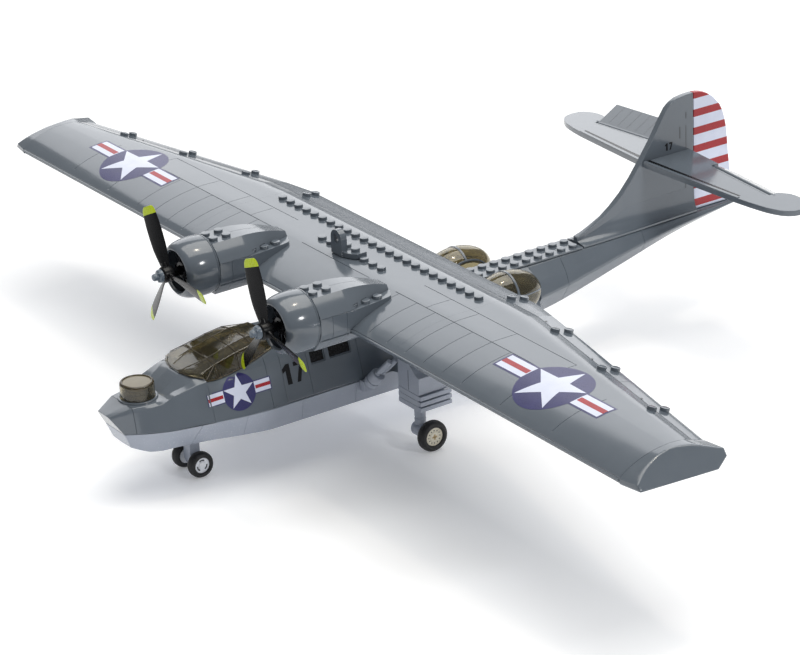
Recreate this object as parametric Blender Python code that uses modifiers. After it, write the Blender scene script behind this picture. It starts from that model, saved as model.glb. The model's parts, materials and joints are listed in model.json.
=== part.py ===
# Building-brick model flying boat: twin engines, a wing carried above the hull, wheeled gear.
# Written for Blender 4.5. Lengths are in millimetres here and become metres in the meshes.
# Station frame: x to port, y aft and z up, measured from the middle of the long stud row on the wing,
# at the tops of its studs. placed() moves a station point into the model's own frame.
import math

import bmesh
import bpy
from mathutils import Matrix, Vector

METRE = 0.001
GROUND_Z = -96.0          # floor under the wheels, in the station frame
MIDDLE_Y = 36.75          # half way between the bow and the end of the tail
GAP = 0.3                 # between touching pieces
STUD_PITCH = 8.0
PLATE = 3.2
BRICK = 9.6
STUD_RADIUS = 2.4
STUD_HEIGHT = 1.7
STUD_SIDES = 12
SURFACE_Z = -STUD_HEIGHT  # top of the wing's flat strip

# Wing
CENTRE_HALF = 100.5       # twelve studs and a bit each side of the middle
KINK_X = 104.0            # where the trailing edge starts to taper
STRIP_KINK_X = 124.0      # where the line ahead of the trailing strip starts to taper
TIP_X = 282.5             # seam of the end cap
CAP_LOW_X = 296.0         # foot of the end cap's leaning outer face
CAP_LEAN = 0.739
LEAD_Y = -59.0
TRAIL_Y = 27.0
WING_BOTTOM_Z = -14.5
TRAIL_THICK = 3.2
# y and z of the upper skin from the leading edge back, at each station in x
ROOT_TOP = [(-59.0, -11.5), (-54.8, -9.1), (-49.0, -6.8), (-40.7, -4.5), (-31.6, -2.8), (-21.6, -1.7),
            (4.1, -1.7), (13.5, -4.3), (27.0, -7.6)]
STRIP_TOP = [(-59.1, -11.5), (-55.1, -9.1), (-49.5, -6.9), (-41.4, -4.6), (-32.6, -2.9), (-22.7, -1.8),
             (2.5, -1.8), (13.4, -4.6), (22.8, -6.9)]
TIP_TOP = [(-60.0, -11.5), (-57.1, -9.5), (-53.1, -7.3), (-47.1, -5.0), (-40.2, -3.3), (-31.3, -2.5),
           (-24.0, -3.0), (-17.6, -4.9), (-10.5, -7.1)]
WING_STATIONS = [(KINK_X, ROOT_TOP), (STRIP_KINK_X, STRIP_TOP), (TIP_X, TIP_TOP)]

# Engines
ENGINE_X = 48.0
ENGINE_Z = -5.5
COWL_REAR_Y = -77.5
NACELLE_HALF = 16.0
BASE_TOP_Z = -1.2         # studded plate under the fairing
PROP_Y = -100.3
PROP_RADIUS = 37.0
PROP_LEAN = {"left": 17.0, "right": 26.0}    # lean of the upright blade, in degrees
AXLE_RADIUS = 2.4
RUNNING_GAP = 0.35

# Tail
FIN_HALF = 1.9
RUDDER_Y = 214.0
STAB_Z = 1.5
STAB_DROOP = 0.062        # fall of the stabiliser for each millimetre outward
STAB_HALF_THICK = 1.6
HINGE_Y = 207.5
ELEVATOR_IN = 28.0
ELEVATOR_OUT = 76.5
ELEVATOR_CHORD = 16.0
ELEVATOR_UP = 32.0        # right elevator at rest, trailing edge up
ELEVATOR_DOWN = -26.0     # left elevator at rest, trailing edge down
BARREL_RADIUS = 1.7
PIN_RADIUS = 0.8

# Landing gear
NOSE_WHEEL_RADIUS = 7.0
NOSE_WHEEL_X = 7.9
NOSE_AXLE_Y = -120.5
MAIN_WHEEL_RADIUS = 8.5
MAIN_WHEEL_X = 59.0
MAIN_AXLE_Y = -9.5
TYRE_WIDTH = 6.0
WHEEL_AXLE_RADIUS = 1.6

COLOURS = {
    "grey": ((0.125, 0.150, 0.178), 0.32, 0.0),
    "light_grey": ((0.330, 0.372, 0.442), 0.32, 0.0),
    "black": ((0.012, 0.012, 0.014), 0.42, 0.0),
    "lime": ((0.560, 0.700, 0.060), 0.38, 0.0),
    "steel_grey": ((0.190, 0.220, 0.250), 0.35, 0.0),
    "cream": ((0.780, 0.760, 0.700), 0.35, 0.0),
    "smoke": ((0.110, 0.075, 0.040), 0.08, 0.0),
    "rubber": ((0.010, 0.010, 0.012), 0.60, 0.0),
    "tan": ((0.480, 0.340, 0.170), 0.40, 0.0),
    "white": ((0.800, 0.810, 0.830), 0.30, 0.0),
}


def placed(x, y, z):
    # station point in millimetres to model point in metres
    return Vector((x * METRE, (y - MIDDLE_Y) * METRE, (z - GROUND_Z) * METRE))


def clear_scene():
    for item in list(bpy.data.objects):
        bpy.data.objects.remove(item, do_unlink=True)
    for group in list(bpy.data.collections):
        bpy.data.collections.remove(group)


def new_collection(name):
    group = bpy.data.collections.new(name)
    bpy.context.scene.collection.children.link(group)
    return group


def material(name):
    found = bpy.data.materials.get(name)
    if found:
        return found
    colour, roughness, metallic = COLOURS[name]
    made = bpy.data.materials.new(name)
    made.use_nodes = True
    shader = made.node_tree.nodes["Principled BSDF"]
    shader.inputs["Base Color"].default_value = (*colour, 1.0)
    shader.inputs["Roughness"].default_value = roughness
    shader.inputs["Metallic"].default_value = metallic
    return made


def mesh_object(name, bm, colour, smooth=None):
    # a finished bmesh, in model metres, becomes one named object
    bmesh.ops.recalc_face_normals(bm, faces=bm.faces)
    mesh = bpy.data.meshes.new(name)
    bm.to_mesh(mesh)
    bm.free()
    if smooth is not None:
        mesh.shade_smooth()
        mesh.set_sharp_from_angle(angle=math.radians(smooth))
    item = bpy.data.objects.new(name, mesh)
    item.data.materials.append(material(colour))
    parts.objects.link(item)
    return item


def add_box(bm, low, high):
    centre = placed(*[(a + b) / 2 for a, b in zip(low, high)])
    size = [abs(b - a) * METRE for a, b in zip(low, high)]
    matrix = Matrix.Translation(centre) @ Matrix.Diagonal((*size, 1.0))
    bmesh.ops.create_cube(bm, size=1.0, matrix=matrix)


def add_rod(bm, start, end, radius, sides=12, end_radius=None):
    # a cylinder or cone between two station points
    a = placed(*start)
    b = placed(*end)
    axis = b - a
    turn = axis.to_track_quat("Z", "Y").to_matrix().to_4x4()
    matrix = Matrix.Translation((a + b) / 2) @ turn
    far = radius if end_radius is None else end_radius
    bmesh.ops.create_cone(bm, cap_ends=True, segments=sides, radius1=radius * METRE,
                          radius2=far * METRE, depth=axis.length, matrix=matrix)


def add_loft(bm, rings):
    # rings of matching points, capped at both ends
    loops = [[bm.verts.new(placed(*point)) for point in ring] for ring in rings]
    count = len(loops[0])
    for near, far in zip(loops, loops[1:]):
        for i in range(count):
            j = (i + 1) % count
            bm.faces.new((near[i], near[j], far[j], far[i]))
    bm.faces.new(list(reversed(loops[0])))
    bm.faces.new(loops[-1])


def add_prism(bm, outline, low, high, axis):
    # a flat outline pushed from low to high along one axis
    order = {"x": lambda a, b, c: (c, a, b), "y": lambda a, b, c: (a, c, b), "z": lambda a, b, c: (a, b, c)}[axis]
    face = bm.faces.new([bm.verts.new(placed(*order(a, b, low))) for a, b in outline])
    grown = bmesh.ops.extrude_face_region(bm, geom=[face])
    shift = placed(*order(0, 0, high)) - placed(*order(0, 0, low))
    moved = [v for v in grown["geom"] if isinstance(v, bmesh.types.BMVert)]
    bmesh.ops.translate(bm, verts=moved, vec=shift)


def add_stud(bm, x, y, base_z, sunk=0.6):
    add_rod(bm, (x, y, base_z - sunk), (x, y, base_z + STUD_HEIGHT), STUD_RADIUS, STUD_SIDES)


def tool(name, bm):
    # a cutter or an added shape: kept out of the model itself
    bmesh.ops.recalc_face_normals(bm, faces=bm.faces)
    mesh = bpy.data.meshes.new(name)
    bm.to_mesh(mesh)
    bm.free()
    item = bpy.data.objects.new(name, mesh)
    item.hide_render = True
    item.display_type = "WIRE"
    cutters.objects.link(item)
    return item


def boolean(item, other, operation):
    change = item.modifiers.new(operation.lower(), "BOOLEAN")
    change.operation = operation
    change.object = other
    change.solver = "EXACT"
    change.use_self = operation == "UNION"
    return item


def cut(item, bm, name):
    return boolean(item, tool(item.name + "_" + name, bm), "DIFFERENCE")


def join(item, bm, name):
    return boolean(item, tool(item.name + "_" + name, bm), "UNION")


def new_box(name, low, high, colour):
    bm = bmesh.new()
    add_box(bm, low, high)
    return mesh_object(name, bm, colour)


def mirrored_ring(half, y):
    # half holds (x, z) from the top middle round to the bottom middle
    port = [(x, y, z) for x, z in half]
    starboard = [(-x, y, z) for x, z in reversed(half) if x > 1e-6]
    return port + starboard


def turned(name, profile, centre, axis, colour, steps=24):
    # profile holds (radius, height) down the outer side; the spin axis points along axis
    curve = bpy.data.meshes.new(name)
    points = [(radius * METRE, 0.0, height * METRE) for radius, height in profile]
    curve.from_pydata(points, [(i, i + 1) for i in range(len(points) - 1)], [])
    item = bpy.data.objects.new(name, curve)
    item.data.materials.append(material(colour))
    parts.objects.link(item)
    screw = item.modifiers.new("turn", "SCREW")
    screw.steps = steps
    screw.render_steps = steps
    screw.use_merge_vertices = True
    screw.merge_threshold = 0.00002
    screw.use_smooth_shade = True
    item.location = placed(*centre)
    item.rotation_mode = "QUATERNION"
    item.rotation_quaternion = Vector(axis).to_track_quat("Z", "Y")
    return item


def set_origin(item, x, y, z):
    # the object's own origin goes to a point on its axle
    point = placed(x, y, z)
    item.data.transform(Matrix.Translation(-point))
    item.location = point


# Wing

def wing_top(x):
    # upper skin at one station, from the leading edge back
    place = abs(x)
    if place <= KINK_X:
        return ROOT_TOP
    for (near, low), (far, high) in zip(WING_STATIONS, WING_STATIONS[1:]):
        if place <= far:
            t = (place - near) / (far - near)
            return [(a + (c - a) * t, b + (d - b) * t) for (a, b), (c, d) in zip(low, high)]
    return TIP_TOP


def wing_ring(x):
    top = wing_top(x)
    lead, trail = top[0][0], top[-1][0]
    ring = [(x, y, z) for y, z in top]
    ring.append((x, trail, top[-1][1] - TRAIL_THICK))
    ring.append((x, lead + 0.80 * (trail - lead), WING_BOTTOM_Z))
    ring.append((x, lead, WING_BOTTOM_Z))
    return ring


def strip_height(x, y):
    (y0, z0), (y1, z1) = wing_top(x)[-2:]
    return z0 + (y - y0) / (y1 - y0) * (z1 - z0)


def add_strip_studs(bm, side, places):
    # stud pairs standing square to the sloping strip along the trailing edge
    for x, y in places:
        z = strip_height(x, y)
        (y0, z0), (y1, z1) = wing_top(x)[-2:]
        up = Vector((0, z0 - z1, y1 - y0)).normalized()
        foot = Vector((side * x, y, z))
        add_rod(bm, tuple(foot - up * 0.6), tuple(foot + up * STUD_HEIGHT), STUD_RADIUS, STUD_SIDES)


def build_wing():
    bm = bmesh.new()
    add_loft(bm, [wing_ring(x) for x in (-CENTRE_HALF, CENTRE_HALF)])
    centre = mesh_object("wing_centre", bm, "grey")
    bm = bmesh.new()
    for i in range(24):
        add_stud(bm, (i - 11.5) * STUD_PITCH, 0.0, SURFACE_Z)
    for i in (0, 1, 5, 6, 7):
        add_stud(bm, (i - 3.5) * STUD_PITCH, -2 * STUD_PITCH, SURFACE_Z)
    for side in (1, -1):
        add_strip_studs(bm, side, [(95.6, 17.6), (97.2, 24.4)])
    join(centre, bm, "studs")
    for side, hand in ((1, "left"), (-1, "right")):
        bm = bmesh.new()
        add_loft(bm, [wing_ring(side * x) for x in (CENTRE_HALF + GAP, KINK_X, STRIP_KINK_X, TIP_X)])
        outer_wing = mesh_object("wing_outer_" + hand, bm, "grey")
        bm = bmesh.new()
        add_strip_studs(bm, side, [(144.5, 8.4), (146.1, 15.7), (195.5, -2.2), (197.1, 5.0),
                                   (246.2, -12.0), (247.7, -5.4)])
        join(outer_wing, bm, "studs")
        bm = bmesh.new()
        inner = [(side * (TIP_X + GAP), y, z) for x, y, z in wing_ring(side * TIP_X)]
        outer = [(side * (CAP_LOW_X - CAP_LEAN * (z - WING_BOTTOM_Z)), -34.0 + 0.92 * (y + 34.0), z)
                 for x, y, z in inner]
        add_loft(bm, [inner, outer])
        mesh_object("wing_tip_" + hand, bm, "grey")


def build_pylon():
    bm = bmesh.new()
    add_prism(bm, [(-46, WING_BOTTOM_Z - GAP), (26, WING_BOTTOM_Z - GAP), (30, cabin_top(30) + GAP),
                   (0, cabin_top(0) + GAP), (-50, cabin_top(-50) + GAP)], -8.0, 8.0, "x")
    mesh_object("pylon", bm, "grey")


# Hull

def cabin_top(y):
    if y <= 0:
        return -26.0 + (y + 76.0) / 76.0 * (-31.0 + 26.0)
    return -31.0 + y / 44.0 * (-34.9 + 31.0)


def build_bow():
    rings = []
    for y, top, ridge, crease, shoulder, chine in (
            (-170.5, -48.8, (2.0, -48.8), (4.0, -48.9), (5.0, -49.0), (5.2, -51.3)),
            (-168.0, -47.0, (3.0, -47.0), (5.0, -47.0), (6.5, -47.1), (8.0, -54.5)),
            (-159.0, -44.9, (5.0, -44.9), (8.8, -44.9), (12.0, -45.0), (14.0, -57.7)),
            (-144.0, -44.8, (5.0, -44.8), (9.6, -44.7), (15.6, -43.6), (21.3, -57.8)),
            (-140.2, -44.7, (5.0, -44.7), (9.8, -44.5), (16.4, -42.6), (22.5, -57.8)),
            (-138.0, -43.1, (4.9, -43.2), (10.4, -42.8), (17.0, -41.6), (23.0, -57.9)),
            (-127.6, -36.4, (4.5, -36.5), (14.4, -38.7), (18.9, -39.2), (25.1, -58.0)),
            (-124.6, -36.4, (8.0, -36.5), (14.0, -36.9), (19.4, -38.6), (25.6, -58.2)),
            (-120.3, -36.5, (13.0, -36.6), (19.0, -36.9), (20.3, -38.2), (26.5, -58.5))):
        rings.append(mirrored_ring([(0, top), ridge, crease, shoulder, chine, (0, chine[1])], y))
    bm = bmesh.new()
    add_loft(bm, rings)
    mesh_object("bow_deck", bm, "grey")
    rings = []
    for y, wide, top, narrow, low in (
            (-169.9, 5.6, -52.6, 3.4, -56.0),
            (-168.0, 8.0, -54.9, 4.6, -59.4),
            (-163.5, 11.0, -56.5, 6.6, -64.0),
            (-159.0, 14.0, -58.0, 8.0, -67.4),
            (-149.0, 19.1, -58.1, 9.0, -72.5),
            (-140.0, 22.5, -58.2, 10.0, -74.0),
            (-120.3, 26.3, -58.8, 14.0, -74.0)):
        rings.append(mirrored_ring([(0, top), (wide, top), (narrow, low), (0, low - 0.4)], y))
    bm = bmesh.new()
    add_loft(bm, rings)
    low_bow = mesh_object("bow_bottom", bm, "light_grey")
    bm = bmesh.new()
    add_box(bm, (-6.2, NOSE_AXLE_Y - 11, -80), (6.2, NOSE_AXLE_Y + 11, -66.0))
    cut(low_bow, bm, "wheel_bay")


def side_ring(y, top, arch, sill, wide, chine):
    return mirrored_ring([(0, top), (7.0, top - 0.6), arch, sill, (wide, chine), (0, chine)], y)


def build_cockpit():
    # the sill falls from the windscreen's foot and climbs again to the cabin roof
    rings = []
    for y, sill, shoulder, chine in (
            (-120.0, (20.0, -38.6), (20.6, -40.5), (26.5, -58.5)),
            (-114.0, (19.6, -39.6), (20.5, -41.2), (26.6, -59.0)),
            (-99.0, (19.3, -37.9), (20.3, -39.6), (26.9, -60.3)),
            (-87.0, (18.3, -35.2), (20.1, -38.6), (27.0, -60.7)),
            (-76.6, (16.2, -32.5), (20.0, -38.1), (27.0, -60.7))):
        rings.append(mirrored_ring([(0, sill[1]), sill, shoulder, chine, (0, chine[1])], y))
    bm = bmesh.new()
    add_loft(bm, rings)
    tub = mesh_object("cockpit_sides", bm, "grey")
    bm = bmesh.new()
    add_prism(bm, [(-14.6, -28.0), (14.6, -28.0), (17.6, -38.0), (21.0, -55.5), (-21.0, -55.5), (-17.6, -38.0)],
              -117.5, -79.5, "y")
    cut(tub, bm, "well")


def build_cabin():
    bm = bmesh.new()
    rings = []
    for y in (-76.3, -50.0, 0.0, 44.0):
        top = cabin_top(y)
        rings.append(side_ring(y, top, (13.0, top - 4.2), (20.0, -38.0 if y < 20 else -41.0), 27.0, -60.7))
    add_loft(bm, rings)
    cabin = mesh_object("cabin", bm, "grey")
    bm = bmesh.new()
    add_box(bm, (-15.5, -73.0, -57.0), (15.5, 41.0, -38.5))
    for side in (1, -1):
        add_box(bm, (side * 15.0, -58.6, -45.6), (side * 30.0, -49.4, -38.6 + 0.4))
        add_box(bm, (side * 15.0, -47.2, -45.4), (side * 30.0, -33.0, -39.0))
    cutter = tool("cabin_hollow", bm)
    change = cabin.modifiers.new("hollow", "BOOLEAN")
    change.operation = "DIFFERENCE"
    change.object = cutter
    change.solver = "EXACT"
    change.use_self = True
    for side, hand in ((1, "left"), (-1, "right")):
        pane = new_box("windows_" + hand, (side * 13.6, -60.5, -47.5), (side * 15.2, -31.0, -38.8), "black")
        bm = bmesh.new()
        add_box(bm, (side * 14.6, -58.3, -45.3), (side * 19.0, -49.7, -39.2))
        add_box(bm, (side * 14.6, -46.9, -45.1), (side * 19.0, -33.3, -39.3))
        join(pane, bm, "panes")


def add_ellipsoid(bm, centre, radii, u=20, v=12):
    matrix = Matrix.Translation(placed(*centre)) @ Matrix.Diagonal((*[r * METRE for r in radii], 1.0))
    bmesh.ops.create_uvsphere(bm, u_segments=u, v_segments=v, radius=1.0, matrix=matrix)


BLISTER = (23.0, 66.6, -40.5)
BLISTER_RADII = (12.5, 21.6, 13.8)
BLISTER_SEAT_X = 13.4     # inner edge of the opening, beside the spine plate


def build_blisters():
    bm = bmesh.new()
    rings = []
    for y, wide, low in ((44.3, 27.0, -60.7), (66.0, 24.5, -60.7), (92.0, 20.5, -57.5)):
        rings.append(mirrored_ring([(0, -34.9), (8.0, -34.9), (13.5, -38.0), (wide - 3.5, -46.0), (wide, low), (0, low)], y))
    add_loft(bm, rings)
    body = mesh_object("gunner_section", bm, "grey")
    hollow = bmesh.new()
    add_loft(hollow, [mirrored_ring([(0, -36.9), (7.0, -36.9), (wide, -46.0), (wide, -70.0), (0, -70.0)], y)
                      for y, wide in ((46.4, 22.0), (66.0, 19.6), (90.0, 15.8))])
    cut(body, hollow, "hollow")
    for side, hand in ((1, "left"), (-1, "right")):
        centre = (side * BLISTER[0], BLISTER[1], BLISTER[2])
        shell = bmesh.new()
        add_ellipsoid(shell, centre, BLISTER_RADII)
        dome = mesh_object("blister_" + hand, shell, "smoke", smooth=40)
        inner = bmesh.new()
        add_ellipsoid(inner, centre, [r - 1.3 for r in BLISTER_RADII])
        cut(dome, inner, "inside")
        half = bmesh.new()
        add_box(half, (side * -20.0, 30.0, -70.0), (side * BLISTER_SEAT_X, 110.0, -10.0))
        cut(dome, half, "half")
        bay = bmesh.new()
        add_ellipsoid(bay, centre, [r + GAP for r in BLISTER_RADII])
        cutter = tool("gunner_section_bay_" + hand, bay)
        half = bmesh.new()
        add_box(half, (side * -20.0, 30.0, -70.0), (side * (BLISTER_SEAT_X - GAP), 110.0, -10.0))
        boolean(cutter, tool("bay_half_" + hand, half), "DIFFERENCE")
        boolean(body, cutter, "DIFFERENCE")


def build_boom():
    rings = []
    for y, wide, side_z, narrow, low, top_half in (
            (92.3, 20.3, -50.0, 9.0, -64.5, 8.0),
            (110.0, 17.2, -49.5, 8.0, -62.5, 8.0),
            (128.0, 14.6, -47.5, 7.2, -59.0, 8.0),
            (160.0, 11.4, -43.0, 5.8, -52.0, 7.6),
            (200.0, 8.2, -38.6, 4.4, -43.2, 6.2),
            (244.0, 4.2, -36.0, 2.6, -37.2, 3.6)):
        rings.append(mirrored_ring([(0, -34.9), (top_half, -34.9), (wide * 0.82, (side_z - 34.9) / 2 - 0.2),
                                    (wide, side_z), (narrow, low), (0, low - 0.3)], y))
    bm = bmesh.new()
    add_loft(bm, rings)
    boom = mesh_object("tail_boom", bm, "grey")
    hollow = []
    for y, wide, side_z, narrow, low, top_half in (
            (90.0, 18.2, -50.0, 7.4, -62.6, 6.4),
            (110.0, 15.2, -49.5, 6.4, -60.6, 6.4),
            (128.0, 12.6, -47.5, 5.6, -57.1, 6.4),
            (160.0, 9.4, -43.0, 4.2, -50.1, 6.0),
            (200.0, 6.2, -38.9, 2.8, -41.4, 4.6)):
        hollow.append(mirrored_ring([(0, -36.8), (top_half, -36.8), (wide * 0.86, (side_z - 36.8) / 2 - 0.2),
                                     (wide, side_z), (narrow, low), (0, low)], y))
    bm = bmesh.new()
    add_loft(bm, hollow)
    cut(boom, bm, "hollow")
    strip = new_box("spine_plate", (-8.0, 44.0, -34.6), (8.0, 130.2, -34.6 + 0.9), "grey")
    bm = bmesh.new()
    for i in range(10):
        for x in (-4.0, 4.0):
            add_stud(bm, x, 126.2 - 8.0 * i, -33.9, sunk=0.4)
    join(strip, bm, "studs")


def build_hull_bottom():
    rings = []
    for y, wide, top, narrow, low in (
            (-120.0, 26.3, -58.8, 14.0, -74.0),
            (-99.0, 26.6, -60.6, 21.0, -73.8),
            (-84.0, 26.8, -61.0, 24.5, -73.6),
            (20.0, 26.8, -61.0, 24.5, -73.6),
            (20.6, 26.8, -61.0, 22.5, -70.2),
            (60.0, 24.8, -61.0, 14.0, -67.5),
            (92.0, 20.3, -61.0, 9.0, -65.0)):
        rings.append(mirrored_ring([(0, top), (wide, top), (narrow, low), (0, low)], y))
    bm = bmesh.new()
    add_loft(bm, rings)
    bottom = mesh_object("hull_bottom", bm, "light_grey")
    bm = bmesh.new()
    add_box(bm, (-6.2, NOSE_AXLE_Y - 11, -80), (6.2, NOSE_AXLE_Y + 11, -66.0))
    cut(bottom, bm, "wheel_bay")


def build_glass():
    rings = []
    for y, top, arch, shoulder, sill in (
            (-127.3, -35.6, (2.6, -35.7), (3.8, -35.8), (4.2, -36.1)),
            (-125.2, -34.9, (4.4, -34.9), (10.6, -35.2), (12.3, -36.1)),
            (-121.0, -33.8, (7.8, -33.8), (16.8, -34.2), (19.0, -36.4)),
            (-119.9, -33.4, (7.8, -33.5), (17.0, -33.9), (19.3, -36.4)),
            (-119.6, -33.3, (7.8, -33.4), (17.0, -33.9), (19.3, -38.2)),
            (-112.4, -31.2, (7.8, -31.3), (15.8, -32.0), (18.5, -39.1)),
            (-99.0, -27.8, (7.8, -28.0), (15.6, -29.2), (18.2, -37.4)),
            (-89.0, -25.7, (7.8, -26.1), (15.2, -27.8), (17.5, -35.2)),
            (-76.6, -25.4, (7.6, -26.2), (13.4, -29.0), (15.8, -32.0))):
        rings.append(mirrored_ring([(0, top), arch, shoulder, sill, (0, sill[1])], y))
    bm = bmesh.new()
    add_loft(bm, rings)
    glass = mesh_object("canopy", bm, "smoke")
    inner = []
    for y, top, arch, shoulder, sill in (
            (-123.6, -35.5, (4.4, -35.6), (11.8, -35.9), (14.0, -36.8)),
            (-119.4, -34.4, (7.4, -34.5), (15.8, -35.0), (17.8, -38.4)),
            (-112.4, -32.3, (7.4, -32.4), (14.8, -33.0), (17.2, -39.6)),
            (-99.0, -28.9, (7.4, -29.1), (14.6, -30.2), (16.9, -38.0)),
            (-89.0, -26.8, (7.4, -27.2), (14.2, -28.7), (16.2, -35.8)),
            (-76.0, -26.5, (7.2, -27.3), (12.4, -29.9), (14.4, -33.0))):
        inner.append(mirrored_ring([(0, top), arch, shoulder, sill, (sill[0], -46.0), (0, -46.0)], y))
    bm = bmesh.new()
    add_loft(bm, inner)
    cut(glass, bm, "inside")
    profile = [(0.0, 8.6), (7.2, 8.6), (8.6, 8.1), (9.0, 7.3), (9.0, 0.0), (7.8, 0.0), (7.8, 7.0), (0.0, 7.5)]
    turned("turret", profile, (0, -149.5, -44.4), (0, 0, 1), "smoke", steps=24)


def build_interior():
    # the floor with two seats behind an instrument panel
    bm = bmesh.new()
    add_box(bm, (-19.0, -116.5, -55.2), (19.0, -80.5, -52.8))
    floor = mesh_object("cockpit_floor", bm, "tan")
    bm = bmesh.new()
    for x in (-8.5, 8.5):
        add_box(bm, (x - 5.5, -98.0, -53.5), (x + 5.5, -87.0, -46.5))
        add_box(bm, (x - 5.5, -89.5, -47.5), (x + 5.5, -86.0, -36.5))
    add_box(bm, (-16.0, -112.5, -53.5), (16.0, -109.0, -40.0))
    join(floor, bm, "seats")


# Tail

def fin_outline():
    lead = [(131.0, -30.2), (141.5, -26.6), (155.6, -18.9), (170.0, -5.3), (184.4, 13.7), (191.6, 24.9),
            (195.2, 30.0), (202.4, 34.2)]
    return lead


def build_tail():
    bm = bmesh.new()
    outline = [(131.0, -34.6)] + fin_outline() + [(RUDDER_Y - GAP / 2, 35.2), (RUDDER_Y - GAP / 2, -34.6)]
    add_prism(bm, outline, -FIN_HALF, FIN_HALF, "x")
    fin = mesh_object("fin", bm, "grey")
    bm = bmesh.new()
    rings = []
    for y, base, middle, rise in ((131.2, 7.6, 2.6, -32.6), (141.5, 7.7, 3.4, -29.4), (155.6, 7.4, 3.6, -25.0),
                                  (170.0, 7.0, 3.6, -21.0), (213.7, 5.4, 3.2, -20.0)):
        bend = -33.4 + 0.3 * (rise + 33.4)
        rings.append([(base, y, -34.6), (base, y, -33.4), (middle, y, bend), (FIN_HALF + 0.1, y, rise),
                      (-FIN_HALF - 0.1, y, rise), (-middle, y, bend), (-base, y, -33.4), (-base, y, -34.6)])
    add_loft(bm, rings)
    join(fin, bm, "root")
    bm = bmesh.new()
    add_prism(bm, [(RUDDER_Y + GAP / 2, 35.2), (220.3, 34.1), (226.0, 31.2), (230.5, 27.0), (234.8, 20.7), (237.7, 9.8),
                   (239.1, -5.5), (241.0, -21.8), (241.6, -34.6), (RUDDER_Y + GAP / 2, -34.6)],
              -FIN_HALF, FIN_HALF, "x")
    mesh_object("rudder", bm, "white")
    for side, hand in ((1, "left"), (-1, "right")):
        bm = bmesh.new()
        root = side * (FIN_HALF + GAP)
        slot = HINGE_Y - BARREL_RADIUS - 0.6
        outline = [(root, 177.4), (side * 44, 184.0), (side * 68.5, 188.0), (side * 84, 191.6), (side * 93, 195.0),
                   (side * 99, 199.6), (side * 101.5, 206.0), (side * 101, 211.8), (side * 96.5, 215.6),
                   (side * 89.0, 217.2), (side * 82.0, 216.0), (side * (ELEVATOR_OUT + GAP), 210.6),
                   (side * (ELEVATOR_OUT + GAP), slot), (side * (ELEVATOR_IN - GAP), slot),
                   (side * (ELEVATOR_IN - GAP), 210.6), (root, 210.6)]
        add_prism(bm, outline, STAB_Z - STAB_HALF_THICK, STAB_Z + STAB_HALF_THICK, "z")
        for vertex in bm.verts:
            vertex.co.z -= STAB_DROOP * abs(vertex.co.x)
        stab = mesh_object("stabiliser_" + hand, bm, "grey")
        bm = bmesh.new()
        add_rod(bm, hinge_point(side, ELEVATOR_OUT - 2.4), hinge_point(side, ELEVATOR_OUT + 2.0), PIN_RADIUS, 8)
        add_rod(bm, hinge_point(side, ELEVATOR_IN - 2.0), hinge_point(side, ELEVATOR_IN + 2.4), PIN_RADIUS, 8)
        join(stab, bm, "pins")
        build_elevator(side, hand)


def hinge_point(side, x):
    return (side * x, HINGE_Y, STAB_Z - STAB_DROOP * x)


def build_elevator(side, hand):
    angle = math.radians(ELEVATOR_UP if side < 0 else ELEVATOR_DOWN)
    low = ELEVATOR_IN + GAP
    high = ELEVATOR_OUT - GAP

    def turn(y, z):
        return (HINGE_Y + y * math.cos(angle) - z * math.sin(angle), STAB_Z + y * math.sin(angle) + z * math.cos(angle))
    bm = bmesh.new()
    outline = [turn(*p) for p in ((0.4, -1.4), (ELEVATOR_CHORD, -0.8), (ELEVATOR_CHORD, 0.8), (0.4, 1.4))]
    add_prism(bm, outline, side * low, side * high, "x")
    for vertex in bm.verts:
        vertex.co.z -= STAB_DROOP * abs(vertex.co.x)
    plate = mesh_object("elevator_" + hand, bm, "grey")
    bm = bmesh.new()
    add_rod(bm, hinge_point(side, low), hinge_point(side, high), BARREL_RADIUS, 12)
    join(plate, bm, "barrel")
    bm = bmesh.new()
    for a, b in ((low - 1, low + 3.0), (high - 3.0, high + 1)):
        add_rod(bm, hinge_point(side, a), hinge_point(side, b), PIN_RADIUS + 0.3, 10)
    cut(plate, bm, "bores")
    set_origin(plate, *hinge_point(side, (ELEVATOR_IN + ELEVATOR_OUT) / 2))


# Engines and propellers

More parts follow.
